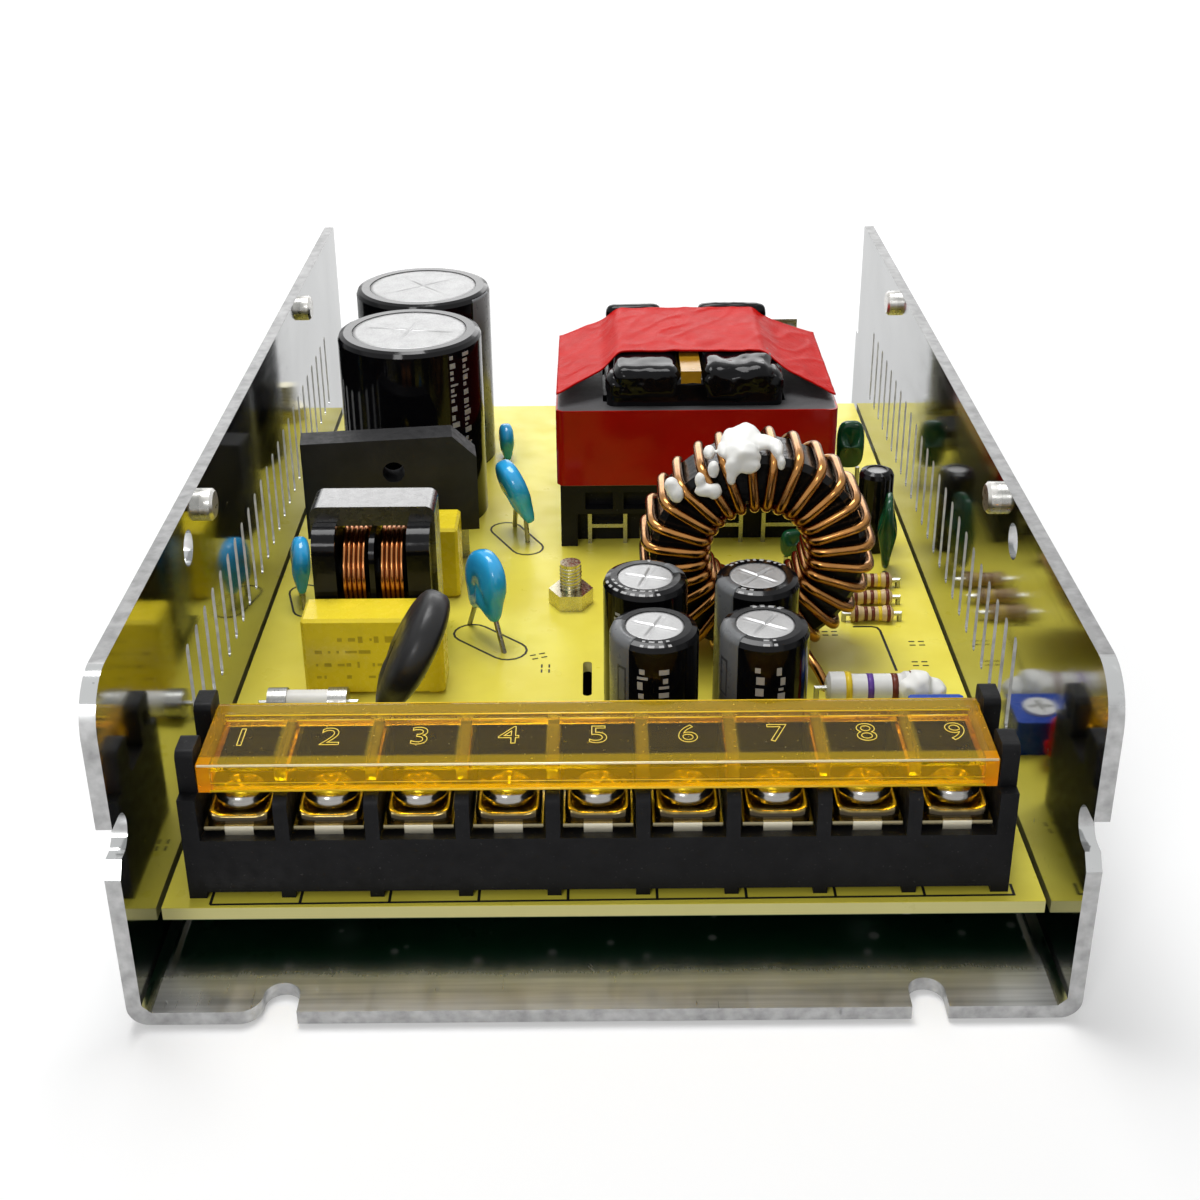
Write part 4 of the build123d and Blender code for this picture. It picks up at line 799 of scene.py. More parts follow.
set_out = Rule("set_out", piece=bpy.types.Object, size=float, paint=bpy.types.Material)
turn_value = set_out.node("GeometryNodeInputNamedAttribute", Name="turn")
turn_value.data_type = "FLOAT"
turn_vector = set_out.node("ShaderNodeCombineXYZ", Z=turn_value.outputs["Attribute"])
copied = set_out.node("GeometryNodeObjectInfo", Object=set_out.start.outputs["piece"])
instances = set_out.node(
    "GeometryNodeInstanceOnPoints",
    Points=set_out.start.outputs["Geometry"],
    Instance=copied.outputs["Geometry"],
    Rotation=turn_vector.outputs[0],
    Scale=set_out.value("size"),
)
set_out.end(instances.outputs[0])


def copies(name, piece, places, finish_name, turns=None):
    """One object with a copy of piece at each place, each turned about the vertical."""
    spots = bpy.data.meshes.new(name + "_spots")
    spots.from_pydata([Vector(p) * mm for p in places], [], [])
    attribute = spots.attributes.new("turn", "FLOAT", "POINT")
    attribute.data.foreach_set("value", turns or [0.0] * len(places))
    result = set_out.bake(name, spots, piece=piece, size=1.0, paint=finishes[finish_name])
    bpy.data.objects.remove(piece)
    return result


# %% [markdown]
# ## Terminal screws
#
# Each way of the terminal has a pan-head screw with a cross recess. One head is a ring-by-ring
# form: its height is a dome, less a cross that gets deeper towards the middle. The rows come
# from the set-out tree, and every screw stands at its own angle, as screws do.

# %% Terminal screws
way_count = 9
way_xs = [way_middle + (n - (way_count - 1) / 2) * way_pitch for n in range(way_count)]
screw_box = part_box("terminal_screws")
clamp_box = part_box("terminal_clamps")
screw_y = (screw_box[0].y + screw_box[1].y) / 2 / mm
clamp_low = clamp_box[0].z / mm
clamp_high = clamp_box[1].z / mm
head_tall = screw_box[1].z / mm - clamp_high
head_radius = (screw_box[1].y - screw_box[0].y) / 2 / mm
side_tall = 0.34 * head_tall
dome_tall = 0.66 * head_tall
cross_half_wide = 0.38
cross_reach = 1.55
cross_core = 0.62
cross_deep = 0.75


def screw_height(share, angle):
    if share > top_share:
        return side_tall * (1 - share) / (1 - top_share)
    r = share / top_share
    x = r * head_radius * math.cos(angle)
    y = r * head_radius * math.sin(angle)
    arm = min(abs(x), abs(y))
    reach = max(abs(x), abs(y))
    slot = soft_step(arm, cross_half_wide, 26) * soft_step(reach, cross_reach, 14) * (1.15 - 0.35 * reach)
    core = soft_step(math.hypot(x, y), cross_core, 12)
    return side_tall + dome_tall * (1 - r ** 3.2) ** 0.6 - cross_deep * max(slot, core)


def screw_radius(share, angle):
    return head_radius * min(1.0, max(0.004, share) / top_share)


points, faces = polar_shell(screw_radius, screw_height, 72)
one_screw = mesh_piece("one_screw", points, faces, "dark_screw")
screw_turns = [0.55, 0.9, 1.0, 0.0, 0.95, 0.6, 0.35, 0.25, 0.7]
screw_spots = [(x, screw_y, clamp_high) for x in way_xs]
screws = copies("terminal_screw_heads", one_screw, screw_spots, "dark_screw", screw_turns)
seat(screws, "supply", "dark_steel", "terminal_screws")


# %% [markdown]
# ## Terminal clamps
#
# Under each screw lies a square clamp that holds the wire down. Its two sides stand a little
# higher than its dished middle, and its corners are rounded. It is drawn ring by ring again,
# with a rounded square in place of a circle.

# %% Terminal clamps
clamp_half = (clamp_box[1].y - clamp_box[0].y) / 2 / mm
clamp_tall = clamp_high - clamp_low
clamp_square = 9.0
clamp_top_share = 0.9


def clamp_rim(angle):
    """A rounded square's radius at an angle, where a circle has 1."""
    across, ahead = abs(math.cos(angle)), abs(math.sin(angle))
    return (across ** clamp_square + ahead ** clamp_square) ** (-1 / clamp_square)


def clamp_share(share):
    """The rings of the top, closer together towards the rim, where the metal bends down."""
    return 1.0 if share > clamp_top_share else 0.012 + 0.988 * (share / clamp_top_share) ** 0.7


def clamp_radius(share, angle):
    return clamp_half * clamp_rim(angle) * clamp_share(share)


def clamp_height(share, angle):
    """Dished: the two sides stand higher than the middle and the front."""
    r = clamp_share(share)
    aside = abs(math.cos(angle)) * clamp_rim(angle) * r
    lift = min(1.0, max(0.0, (aside - 0.50) / 0.42))
    level = 0.62 + 0.28 * lift * lift * (3 - 2 * lift)
    if share > clamp_top_share:
        return clamp_tall * level * (1 - share) / (1 - clamp_top_share)
    return clamp_tall * (level + 0.10 * (1 - max(0.0, (r - 0.82) / 0.18) ** 2))


points, faces = polar_shell(clamp_radius, clamp_height, 64)
one_clamp = mesh_piece("one_clamp", points, faces, "clamp_brass")
clamp_spots = [(x, screw_y, clamp_low) for x in way_xs]
clamps = copies("terminal_clamp_plates", one_clamp, clamp_spots, "clamp_brass")
seat(clamps, "supply", "clamp_brass", "terminal_clamps")


# %% [markdown]
# ## Numbers on the flap
#
# The ways are numbered on the clear flap with thin raised outlines that catch the light as gold
# lines; their gold colour is a painted highlight on those real outlines. A text object with no
# fill and a tiny round bevel gives just such an outline. Each number becomes a mesh before it is
# put in its place, and all nine are joined into one piece.

# %% Numbers on the flap
number_tall = 3.75
number_line = 0.055
number_y = -62.4
flap_top = flap_box[1].z / mm
# Painted highlight: the outlines' gold colour stands for the light they catch.
moulded("gold_line_highlight", (1.0, 0.74, 0.10), 0.20, 900, 0.01, 0.05)


def number_piece(number, x):
    """The outline of one number, made about its own middle and then put in its place."""
    name = f"number_{number}"
    curve = bpy.data.curves.new(name, "FONT")
    curve.body = str(number)
    curve.size = number_tall * mm * 1.25
    curve.align_x = "CENTER"
    curve.align_y = "CENTER"
    curve.fill_mode = "NONE"
    curve.bevel_depth = number_line * mm
    curve.bevel_resolution = 1
    curve.resolution_u = 6
    drawn = in_scene(name, curve)
    outline = final_mesh(drawn)
    bpy.data.objects.remove(drawn)
    outline.transform(Matrix.Translation(Vector((x + 0.1, number_y, flap_top + 0.03)) * mm))
    return in_scene(name, outline)


digits = [number_piece(number, x) for number, x in enumerate(way_xs, start=1)]
seat(joined("flap_numbers", digits, "gold_line_highlight"), "cover", "amber_plastic")


# %% [markdown]
# ## Painted highlights on the flap's edges
#
# The rounded edges of a clear moulding gather light into thin lines. Beads laid along the front
# lip's top and bottom edges, along both edges of the rear strip and behind each number stand for
# those lines. Their pale and gold colours are painted highlights, and being round and glossy
# they also find something bright to mirror. They are one piece with the flap and turn with it.

# %% Painted highlights on the flap's edges
flap_front = flap_box[0].y / mm
flap_rear = flap_box[1].y / mm
flap_low = flap_box[0].z / mm
wall_half = 0.75
# Painted highlights: the bead colours below, bright gold and pale cream, stand for light on the flap's
# rounded edges.
moulded("edge_gold_highlight", (1.0, 0.66, 0.02), 0.10, 900, 0.005, 0.05, shine=0.5)
moulded("edge_pale_highlight", (1.0, 0.90, 0.62), 0.08, 900, 0.005, 0.05, shine=0.9)


def bead(form, start, stop, y, z, radius):
    """A closed round bar along x."""
    around = 10
    left, right = [circle(form, x, y, z, radius, around) for x in (start, stop)]
    for k in range(around):
        after = (k + 1) % around
        form.faces.new((left[k], right[k], right[after], left[after]))
    form.faces.new(left)
    form.faces.new(list(reversed(right)))


gold_highlight_beads = bmesh.new()
for inset, y, z, radius in (
    (1.2, flap_front + 0.10, flap_low + 0.16, 0.16), (1.4, flap_front + 0.02, flap_low + 1.15, 0.05),
    (1.2, flap_rear - 3.55, flap_top - 0.02, 0.10), (1.2, flap_rear - 1.1, flap_top - 0.04, 0.07),
):
    bead(gold_highlight_beads, flap_left + inset, flap_right - inset, y, z, radius)
for x in way_xs:
    left = max(x - way_pitch / 2 + wall_half, flap_left + 1.6)
    right = min(x + way_pitch / 2 - wall_half, flap_right - 1.6)
    bead(gold_highlight_beads, left, right, flap_rear - 4.6, flap_top - 0.03, 0.09)
seat(formed("flap_gold_edges", gold_highlight_beads, "edge_gold_highlight", True), "cover", "amber_plastic")
pale_highlight_beads = bmesh.new()
bead(pale_highlight_beads, flap_left + 0.1, flap_right - 0.1, flap_front + 0.10, flap_top - 0.10, 0.13)
seat(formed("flap_pale_edges", pale_highlight_beads, "edge_pale_highlight", True), "cover", "amber_plastic")


# %% [markdown]
# ## The output choke's winding
#
# A single thick lacquered wire goes round and round the ring, through the hole and over the
# rim. Each turn is a rounded rectangle that stands on edge, and the whole set walks round the
# ring. A superellipse gives the rounded rectangle: the cosine and sine of the phase keep their
# sign, and their size is raised to a power under one. On the front the wire lies straight out
# from the hole to the rim, and it only moves on to the next place behind the ring, so the walk
# is a staircase of smooth steps. A slow noise makes the turns a little uneven.

# %% The output choke's winding
coil = Rule(
    "ring_coil", turns=float, steps=int, ring=float, half_radial=float, half_axial=float,
    square=float, wound=float, start=float, uneven=float, wire=float, sides=int,
    middle=tuple, paint=bpy.types.Material,
)
turns = coil.value("turns")
steps = coil.value("steps")
index = coil.index()
phase = index / steps * (2 * math.pi)
turn = (index / steps).apply("FLOOR")
share = (index / steps).apply("FRACT")
ramp = coil.node("ShaderNodeMapRange", Value=share, From_Min=0.10, From_Max=0.50)
ramp.interpolation_type = "SMOOTHSTEP"
walked = (Formula(coil.tree, ramp.outputs[0]) + turn) / turns
wobble = coil.tree.nodes.new("ShaderNodeTexNoise")
wobble.noise_dimensions = "1D"
wobble.inputs["Scale"].default_value = 1.0
coil.tree.links.new((walked * (turns * 0.9)).output, wobble.inputs["W"])
shake = (Formula(coil.tree, wobble.outputs[0]) - 0.5) * coil.value("uneven")
radial = phase.apply("COSINE").soft_square(coil.value("square"))
axial = phase.apply("SINE").soft_square(coil.value("square"))
reach = coil.value("ring") + coil.value("half_radial") * radial
around = coil.value("start") + coil.value("wound") * walked + shake
place = coil.node(
    "ShaderNodeCombineXYZ",
    X=reach * around.apply("COSINE"), Y=coil.value("half_axial") * axial, Z=reach * around.apply("SINE"),
)
moved = coil.node("ShaderNodeVectorMath")
coil.tree.links.new(place.outputs[0], moved.inputs[0])
coil.tree.links.new(coil.start.outputs["middle"], moved.inputs[1])
coil.end(coil.tube(turns * steps + 1.0, moved.outputs[0]))

ring_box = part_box("toroid_core")
ring_middle = (ring_box[0] + ring_box[1]) / 2
wire_radius = 1.35 / 2
ring_in = 7.5
ring_out = (ring_box[1].x - ring_box[0].x) / 2 / mm
ring_deep = (ring_box[1].y - ring_box[0].y) / 2 / mm
clear = 0.08
winding = coil.bake(
    "toroid_wire",
    turns=27.0, steps=44,
    ring=(ring_in + ring_out) / 2 * mm,
    half_radial=((ring_out - ring_in) / 2 + wire_radius + clear) * mm,
    half_axial=(ring_deep + wire_radius + clear) * mm,
    square=0.42, wound=math.radians(344), start=math.radians(-82), uneven=0.035,
    wire=wire_radius * mm, sides=12, middle=tuple(ring_middle), paint=finishes["copper_wire"],
)
seat(winding, "supply", "copper_wire", "toroid_winding")


# %% [markdown]
# ## The line choke's coils
#
# Two coils of thinner wire sit side by side on the spool, split by a flange. They are plain
# helices, so a second small tree winds one about the vertical and a Transform Geometry node
# lays it on the spool's axis.

# %% The line choke's coils
helix = Rule(
    "helix", turns=float, steps=int, radius=float, length=float, wire=float, sides=int,
    first=tuple, turned=tuple, paint=bpy.types.Material,
)
index = helix.index()
points_in_all = helix.value("turns") * helix.value("steps")
phase = index / helix.value("steps") * (2 * math.pi)
standing = helix.node(
    "ShaderNodeCombineXYZ",
    X=phase.apply("COSINE") * helix.value("radius"), Y=phase.apply("SINE") * helix.value("radius"),
    Z=index / points_in_all * helix.value("length"),
)
laid = helix.node(
    "GeometryNodeTransform", Geometry=helix.tube(points_in_all + 1.0, standing.outputs[0]),
    Translation=helix.start.outputs["first"], Rotation=helix.start.outputs["turned"],
)
helix.end(laid.outputs[0])

spool_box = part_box("choke_windings")
spool_middle = (spool_box[0] + spool_box[1]) / 2
coil_radius = (spool_box[1].z - spool_box[0].z) / 2
flange_room = 0.8 * mm
bay = (spool_box[1].x - spool_box[0].x - flange_room) / 2
fine_wire = 0.33 * mm
layer_step = 0.58 * mm
layer_shift = 0.12 * mm
on_its_side = (0.0, math.pi / 2, 0.0)
layers = []
for start in (spool_box[0].x, spool_box[1].x - bay):
    for layer in range(3):
        layers.append(helix.bake(
            f"bay_{layer}_{start:.4f}", turns=5.5, steps=36,
            radius=coil_radius - fine_wire - layer * layer_step,
            length=bay - 2 * fine_wire - layer_shift * layer, wire=fine_wire, sides=10,
            first=(start + fine_wire + layer_shift * layer, spool_middle.y, spool_middle.z),
            turned=on_its_side, paint=finishes["choke_copper"],
        ))
seat(joined("choke_coils", layers, "choke_copper"), "supply", "copper_wire", "choke_windings")


# %% [markdown]
# ## The studs' thread
#
# The board lies on studs, and a short length of thread stands out of each nut. With a thin wire
# of four sides, wound tightly about the stud, the same tree makes it.

# %% The studs' thread
nut_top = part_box("board_nuts")[1].z
stud_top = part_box("board_studs")[1].z
stud_radius = 1.45 * mm
stud_places = [(-4.3, -1.9), (-38.0, -45.8), (30.0, -44.0), (-38.0, 70.5), (-1.8, 70.5)]
threads = []
for number, (x, y) in enumerate(stud_places):
    threads.append(helix.bake(
        f"thread_{number}", turns=7.0, steps=20, radius=stud_radius,
        length=stud_top - nut_top - 0.5 * mm, wire=0.14 * mm, sides=4,
        first=(x * mm, y * mm, nut_top), turned=(0.0, 0.0, 0.0), paint=finishes["dull_brass"],
    ))
seat(joined("stud_threads", threads, "dull_brass"), "supply", "dull_brass")


# %% [markdown]
# ## The transformer's tape
#
# Glossy red tape is laid over the winding like a low roof. Its section is a row of stations from
# left to right: the left flap, two knees, a flat top, two knees and the right flap. The stations
# come from the solid. Between them the tape is drawn as a grid with thickness, softened at the
# knees, with shallow creases from noise.

# %% The transformer's tape
tape_thick = 0.28
# x, the middle along y, the width along y and the height of each station
tape_stations = [
    (-6.4, 30.55, 26.0, 31.6), (0.5, 33.55, 23.2, 33.75), (3.0, 34.55, 20.6, 35.85),
    (24.6, 34.55, 20.6, 35.85), (27.7, 34.15, 23.2, 33.55), (35.1, 33.05, 28.2, 30.6),
]


def tape_at(x):
    """Middle, width and height of the tape at x, by straight lines between the stations."""
    for first, second in zip(tape_stations, tape_stations[1:]):
        if x <= second[0] or second is tape_stations[-1]:
            share = min(1.0, max(0.0, (x - first[0]) / (second[0] - first[0])))
            return [a + (b - a) * share for a, b in zip(first[1:], second[1:])]


def soft_tape_at(x):
    """The same, averaged over a millimetre, which rounds the knees."""
    samples = [tape_at(x + step * 0.22) for step in range(-3, 4)]
    return [sum(values) / len(samples) for values in zip(*samples)]


def sheet_solid(name, columns, rows, point_at, thick, finish_name):
    """A closed sheet: point_at(u, v) gives its top, and its underside lies thick below."""
    points = []
    faces = []
    for layer in (0.0, thick):
        for i in range(columns + 1):
            for j in range(rows + 1):
                x, y, z = point_at(i / columns, j / rows)
                points.append((x, y, z - layer))
    side = rows + 1
    count = (columns + 1) * side
    for i in range(columns):
        for j in range(rows):
            a = i * side + j
            faces.append((a, a + side, a + side + 1, a + 1))
            faces.append((count + a, count + a + 1, count + a + side + 1, count + a + side))
    for i in range(columns):
        for j in (0, rows):
            a = i * side + j
            faces.append((a, a + side, count + a + side, count + a))
    for j in range(rows):
        for i in (0, columns):
            a = i * side + j
            faces.append((a, a + 1, count + a + 1, count + a))
    return mesh_piece(name, points, faces, finish_name)


def tape_point(u, v):
    x = tape_stations[0][0] + (tape_stations[-1][0] - tape_stations[0][0]) * u
    middle, width, height = soft_tape_at(x)
    y = middle + width * (v - 0.5)
    crease = noise.noise(Vector((x * 0.16 + y * 0.05, y * 0.11, 3.1)))
    fine = noise.noise(Vector((x * 0.55, y * 0.30 - x * 0.2, 8.4)))
    ridge = 1 - abs(noise.noise(Vector((x * 0.22 - y * 0.10, y * 0.16, 5.7)))) * 4
    edge = min(v, 1 - v) * width
    lift = 0.12 * crease + 0.05 * fine + 0.10 * max(0.0, ridge) + 0.10 * math.exp(-edge / 0.8)
    return x, y, height + lift


tape_roof = sheet_solid("tape_roof", 130, 84, tape_point, tape_thick, "red_tape")
seat(tape_roof, "supply", "light_red_tape", "transformer_tape_wrap")


# %% [markdown]
# ## The bulge of the winding
#
# Under the roof the winding is wrapped in shiny black tape, and its lumpy front end looks out.
# Seven cushions make it, side by side. Each is a cube cut into a fine grid, pushed out to a box
# with rounded edges and lumped by noise.

# %% The bulge of the winding
def cushion(name, low, high, round_off, lump, seed, cuts=30):
    """A box with rounded edges and soft lumps along its normal."""
    form = bmesh.new()
    bmesh.ops.create_cube(form, size=1.0)
    bmesh.ops.subdivide_edges(form, edges=form.edges, cuts=cuts, use_grid_fill=True)
    half = [(b - a) / 2 for a, b in zip(low, high)]
    middle = [(a + b) / 2 for a, b in zip(low, high)]
    for vertex in form.verts:
        place = Vector([c * 2 * h for c, h in zip(vertex.co, half)])
        core = Vector([max(-(h - round_off), min(h - round_off, c)) for c, h in zip(place, half)])
        out = (place - core).normalized()
        bumps = noise.noise(Vector((place.x * 0.32 + seed, place.y * 0.30, place.z * 0.45)))
        bumps += 0.5 * noise.noise(Vector((place.x * 0.9, place.y * 0.8 + seed, place.z)))
        soft = core + out * (round_off + lump * bumps)
        vertex.co = (soft + Vector(middle)) * mm
    return formed(name, form, "winding_tape")


winding_box = [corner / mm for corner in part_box("transformer_winding")]
left_end, front_end, foot_end = winding_box[0]
right_end, rear_end, top_end = winding_box[1]
strip_left, strip_right = [(corner / mm).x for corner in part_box("transformer_gap_strip")]
shoulder_foot = 30.0
cushions = [
    cushion("low_body", (left_end + 0.3, front_end + 0.5, foot_end + 0.1),
            (right_end - 0.3, rear_end - 0.5, 33.9), 1.2, 0.10, 1.0),
    cushion("left_top", (left_end + 1.2, front_end + 0.15, shoulder_foot + 0.2),
            (strip_left - 0.1, rear_end - 0.2, top_end - 0.12), 1.7, 0.18, 4.2),
    cushion("right_top", (strip_right + 0.1, front_end + 0.15, shoulder_foot + 0.2),
            (right_end - 1.4, rear_end - 0.2, top_end - 0.12), 1.7, 0.36, 9.6),
    cushion("left_shoulder", (left_end + 0.1, front_end + 0.4, shoulder_foot),
            (left_end + 4.5, rear_end - 0.6, 34.3), 1.6, 0.20, 2.7),
    cushion("right_shoulder", (right_end - 4.6, front_end + 0.4, shoulder_foot),
            (right_end - 0.1, rear_end - 0.6, 34.3), 1.6, 0.30, 6.3),
    cushion("rear_left", (left_end + 0.4, rear_end - 2.3, shoulder_foot),
            (strip_left - 2.0, rear_end + 0.1, top_end + 0.5), 1.1, 0.15, 3.3, 14),
    cushion("rear_right", (strip_right + 1.0, rear_end - 2.3, shoulder_foot),
            (right_end - 0.4, rear_end + 0.1, top_end + 0.6), 1.1, 0.2, 7.9, 14),
]
seat(joined("winding_bulge", cushions, "winding_tape"), "supply", "black_tape", "transformer_winding")


# %% [markdown]
# ## Dipped parts
#
# Disc, film and thermistor bodies are dipped in resin, so they have no edges: the coat swells in
# the middle, thins at the rim and runs a little way down both wires. One lens function makes
# them all. It is given an outline as a radius for every angle, with a lobe where each wire comes
# out, and a basis that stands it at its own turn and lean.

# %% Dipped parts
def lens(outline, half_thick, roundness):
    """A closed lens in its own plane; x and y are the plane, z is the thickness."""
    def radius_at(share, angle):
        return max(0.02, outline(angle) * math.sin(math.pi * share) ** roundness)

    def height_at(share, angle):
        swell = math.cos(math.pi * share)
        thin = outline(0.0) / max(outline(0.0), outline(angle))
        return math.copysign(abs(swell) ** roundness, swell) * half_thick * thin

    return polar_shell(radius_at, height_at, 56)


def stand(points, middle, turn, lean):
    """Turn lens points so that the plane holds the turned direction and the leaning upright."""
    angle = math.radians(turn)
    tilt = math.radians(lean)
    side = Vector((math.cos(angle), math.sin(angle), 0))
    level = side.cross(Vector((0, 0, 1)))
    up = Vector((0, 0, math.cos(tilt))) + level * math.sin(tilt)
    out = side.cross(up)
    centre = Vector(middle)
    return [tuple(centre + side * x + up * y + out * z) for x, y, z in points]


def lobed(radius, reach, wide):
    """A round outline with a lobe over each wire, low on either side."""
    def outline(angle):
        r = radius
        for side in (-1, 1):
            toward = math.atan2(-0.75, side * 0.45)
            apart = (angle - toward + math.pi) % (2 * math.pi) - math.pi
            r += reach * math.exp(-(apart / wide) ** 2)
        return r
    return outline


def boxy(half_wide, half_tall):
    """A rounded rectangular outline."""
    power = 3.4

    def outline(angle):
        x = abs(math.cos(angle)) / half_wide
        y = abs(math.sin(angle)) / half_tall
        return (x ** power + y ** power) ** (-1 / power)
    return outline


def dipped(name, form, middle, turn, lean, finish_name):
    """A lens form, stood in its place above the board."""
    points, faces = form
    x, y, high = middle
    return mesh_piece(name, stand(points, (x, y, board_level + high), turn, lean), faces, finish_name)


board_level = board_top / mm
# x, y, radius, thickness, height of the middle, turn and lean
blue_discs = [
    (-15.65, -11.85, 4.2, 3.2, 9.0, 123, 4), (-13.3, 20.6, 4.4, 3.2, 8.3, 112, -18),
    (-16.0, 51.2, 2.6, 2.4, 3.6, 100, 0), (-42.7, -0.9, 3.4, 2.6, 6.7, 105, 5),
]
discs = []
for x, y, radius, thick, high, turn, lean in blue_discs:
    form = lens(lobed(radius, radius * 0.42, 0.30), thick / 2, 0.62)
    discs.append(dipped("disc", form, (x, y, high), turn, lean, "blue_dip"))
seat(joined("disc_coats", discs, "blue_dip"), "supply", "blue_coating", "disc_capacitors")

thermistor_form = lens(lobed(7.2, 1.3, 0.22), 4.5 / 2, 0.60)
thermistor = dipped("thermistor_coat", thermistor_form, (-22.1, -42.0, 15.7), 90, 29, "black_dip")
seat(thermistor, "supply", "black_coating", "thermistor_disc")

# x, y, width, thickness, height of the foot, height in all and turn
green_boxes = [
    (40.8, 38.0, 4.4, 3.2, 3.5, 8.1, 0), (42.0, 7.0, 6.0, 2.8, 1.1, 11.4, 80),
    (28.3, 9.5, 3.1, 2.2, 1.6, 4.2, 20),
]
films = []
for x, y, wide, deep, foot, tall, turn in green_boxes:
    form = lens(boxy(wide / 2, tall / 2), deep / 2, 0.58)
    films.append(dipped("film", form, (x, y, foot + tall / 2), turn, 0, "green_dip"))
seat(joined("green_coats", films, "green_dip"), "supply", "green_coating", "green_capacitors")


# %% [markdown]
# ## Can tops
#
# Every aluminium can has a cross scored in its top, where it opens under pressure. The score is
# cut into a ring-by-ring form, and the metal that it pushed aside stands up along it.

# %% Can tops
out_spots = [(6.1, -45.5), (18.8, -45.3), (5.4, -33.2), (19.0, -33.2)]
bulk_spots = [(-29.15, 31.6), (-29.15, 54.2)]
out_radius, out_high, out_lip = 5.15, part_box("output_cap_sleeves")[1].z / mm, 1.7
bulk_radius, bulk_high, bulk_lip = 11.0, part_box("bulk_cap_sleeves")[1].z / mm, 2.2
out_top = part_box("output_cap_cans")[1].z / mm
bulk_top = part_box("bulk_cap_cans")[1].z / mm
disc_thick = 0.16
disc_crown = 0.05
groove_deep = 0.11
ridge_tall = 0.04


def scored_top(radius, arm, turn):
    """A disc with a scored cross; its underside is flat."""
    def radius_at(share, angle):
        return max(0.01, radius * min(1.0, share / top_share))

    def height_at(share, angle):
        if share > top_share:
            return disc_thick * (1 - share) / (1 - top_share)
        r = radius * share / top_share
        near = min(abs(r * math.cos(angle + turn)), abs(r * math.sin(angle + turn)))
        inside = soft_step(r, arm, 8)
        groove = groove_deep * math.exp(-(near / 0.17) ** 2) * inside
        ridge = ridge_tall * math.exp(-((near - 0.36) / 0.16) ** 2) * inside
        return disc_thick + disc_crown * (1 - (share / top_share) ** 2) - groove + ridge

    return polar_shell(radius_at, height_at, 96)


for name, spots, turns, radius, arm, top in (
    ("output_cap_tops", out_spots, (0.42, 0.55, 0.30, 0.70), out_radius - out_lip - 0.03, 2.6, out_top),
    ("bulk_cap_tops", bulk_spots, (0.2, 0.9), bulk_radius - bulk_lip - 0.05, 6.6, bulk_top),
):
    tops = []
    for (x, y), turn in zip(spots, turns):
        points, faces = scored_top(radius, arm, turn)
        placed = [(x + a, y + b, top - 0.02 + c) for a, b, c in points]
        tops.append(mesh_piece("top", placed, faces, "can_top"))
    seat(joined(name, tops, "can_top"), "supply", "can_aluminium")


# %% [markdown]
# ## Sleeve print
#
# The black sleeves are printed with a grey stripe, a darker frame in it and rows of marks. Each
# printed field is a thin patch that follows the sleeve's own profile over the shoulder, between
# two angles. The marks are plain bars.

# %% Sleeve print
def sleeve_path(radius, high, lip):
    """The sleeve's outside from its foot over the shoulder to the lip, as radius and height."""
    step = 0.9
    return [
        (radius, board_level + 0.2), (radius, high - step),
        (radius - step * 0.3, high - step * 0.3), (radius - step, high), (radius - lip, high),
    ]


def cut_path(path, low, high):
    """The part of a profile between two shares of its length, with the corners on the way."""
    lengths = [0.0]
    for (r0, z0), (r1, z1) in zip(path, path[1:]):
        lengths.append(lengths[-1] + math.hypot(r1 - r0, z1 - z0))
    whole = lengths[-1]
    marks = sorted({low, high, *[x / whole for x in lengths if low < x / whole < high]})
    result = []
    for share in marks:
        reach = share * whole
        for n in range(len(path) - 1):
            if reach <= lengths[n + 1] + 1e-9:
                t = (reach - lengths[n]) / (lengths[n + 1] - lengths[n])
                result.append(tuple(a + (b - a) * t for a, b in zip(path[n], path[n + 1])))
                break
    return result


def patch(form, spot, path, start, stop, lift=0.035):
    """Add a thin closed patch over a profile, between two angles in degrees.

    lift is how far it stands out of the sleeve."""
    x, y = spot
    steps = max(2, int((stop - start) / 4))
    rows = []
    for n, (r, z) in enumerate(path):
        before = path[max(0, n - 1)]
        after = path[min(len(path) - 1, n + 1)]
        run = Vector((after[0] - before[0], after[1] - before[1])).normalized()
        normal = (run.y, -run.x)
        rows.append([(r + normal[0] * d, z + normal[1] * d) for d in (-0.03, lift)])
    grid = []
    for k in range(steps + 1):
        angle = math.radians(start + (stop - start) * k / steps)
        across, ahead = math.cos(angle), math.sin(angle)
        grid.append([
            [form.verts.new(Vector((x + r * across, y + r * ahead, z)) * mm) for r, z in row]
            for row in rows
        ])
    for here, after in zip(grid, grid[1:]):
        for n in range(len(rows) - 1):
            for d in (0, 1):
                form.faces.new((here[n][d], after[n][d], after[n + 1][d], here[n + 1][d]))
        for n in (0, len(rows) - 1):
            form.faces.new((here[n][0], after[n][0], after[n][1], here[n][1]))
    for k in (0, steps):
        for n in range(len(rows) - 1):
            form.faces.new((grid[k][n][0], grid[k][n + 1][0], grid[k][n + 1][1], grid[k][n][1]))


out_path = sleeve_path(out_radius, out_high, out_lip)
bulk_path = sleeve_path(bulk_radius, bulk_high, bulk_lip)
stripes = bmesh.new()
for spot, start, stop in (
    (out_spots[0], 160, 234), (out_spots[1], 160, 229), (out_spots[2], 12, 52), (out_spots[3], 186, 231),
):
    patch(stripes, spot, cut_path(out_path, 0.0, 1.0), start, stop)
patch(stripes, bulk_spots[1], cut_path(bulk_path, 0.0, 0.93), 322, 352)
seat(formed("sleeve_stripes", stripes, "stripe_grey", True), "supply", "black_sleeve")

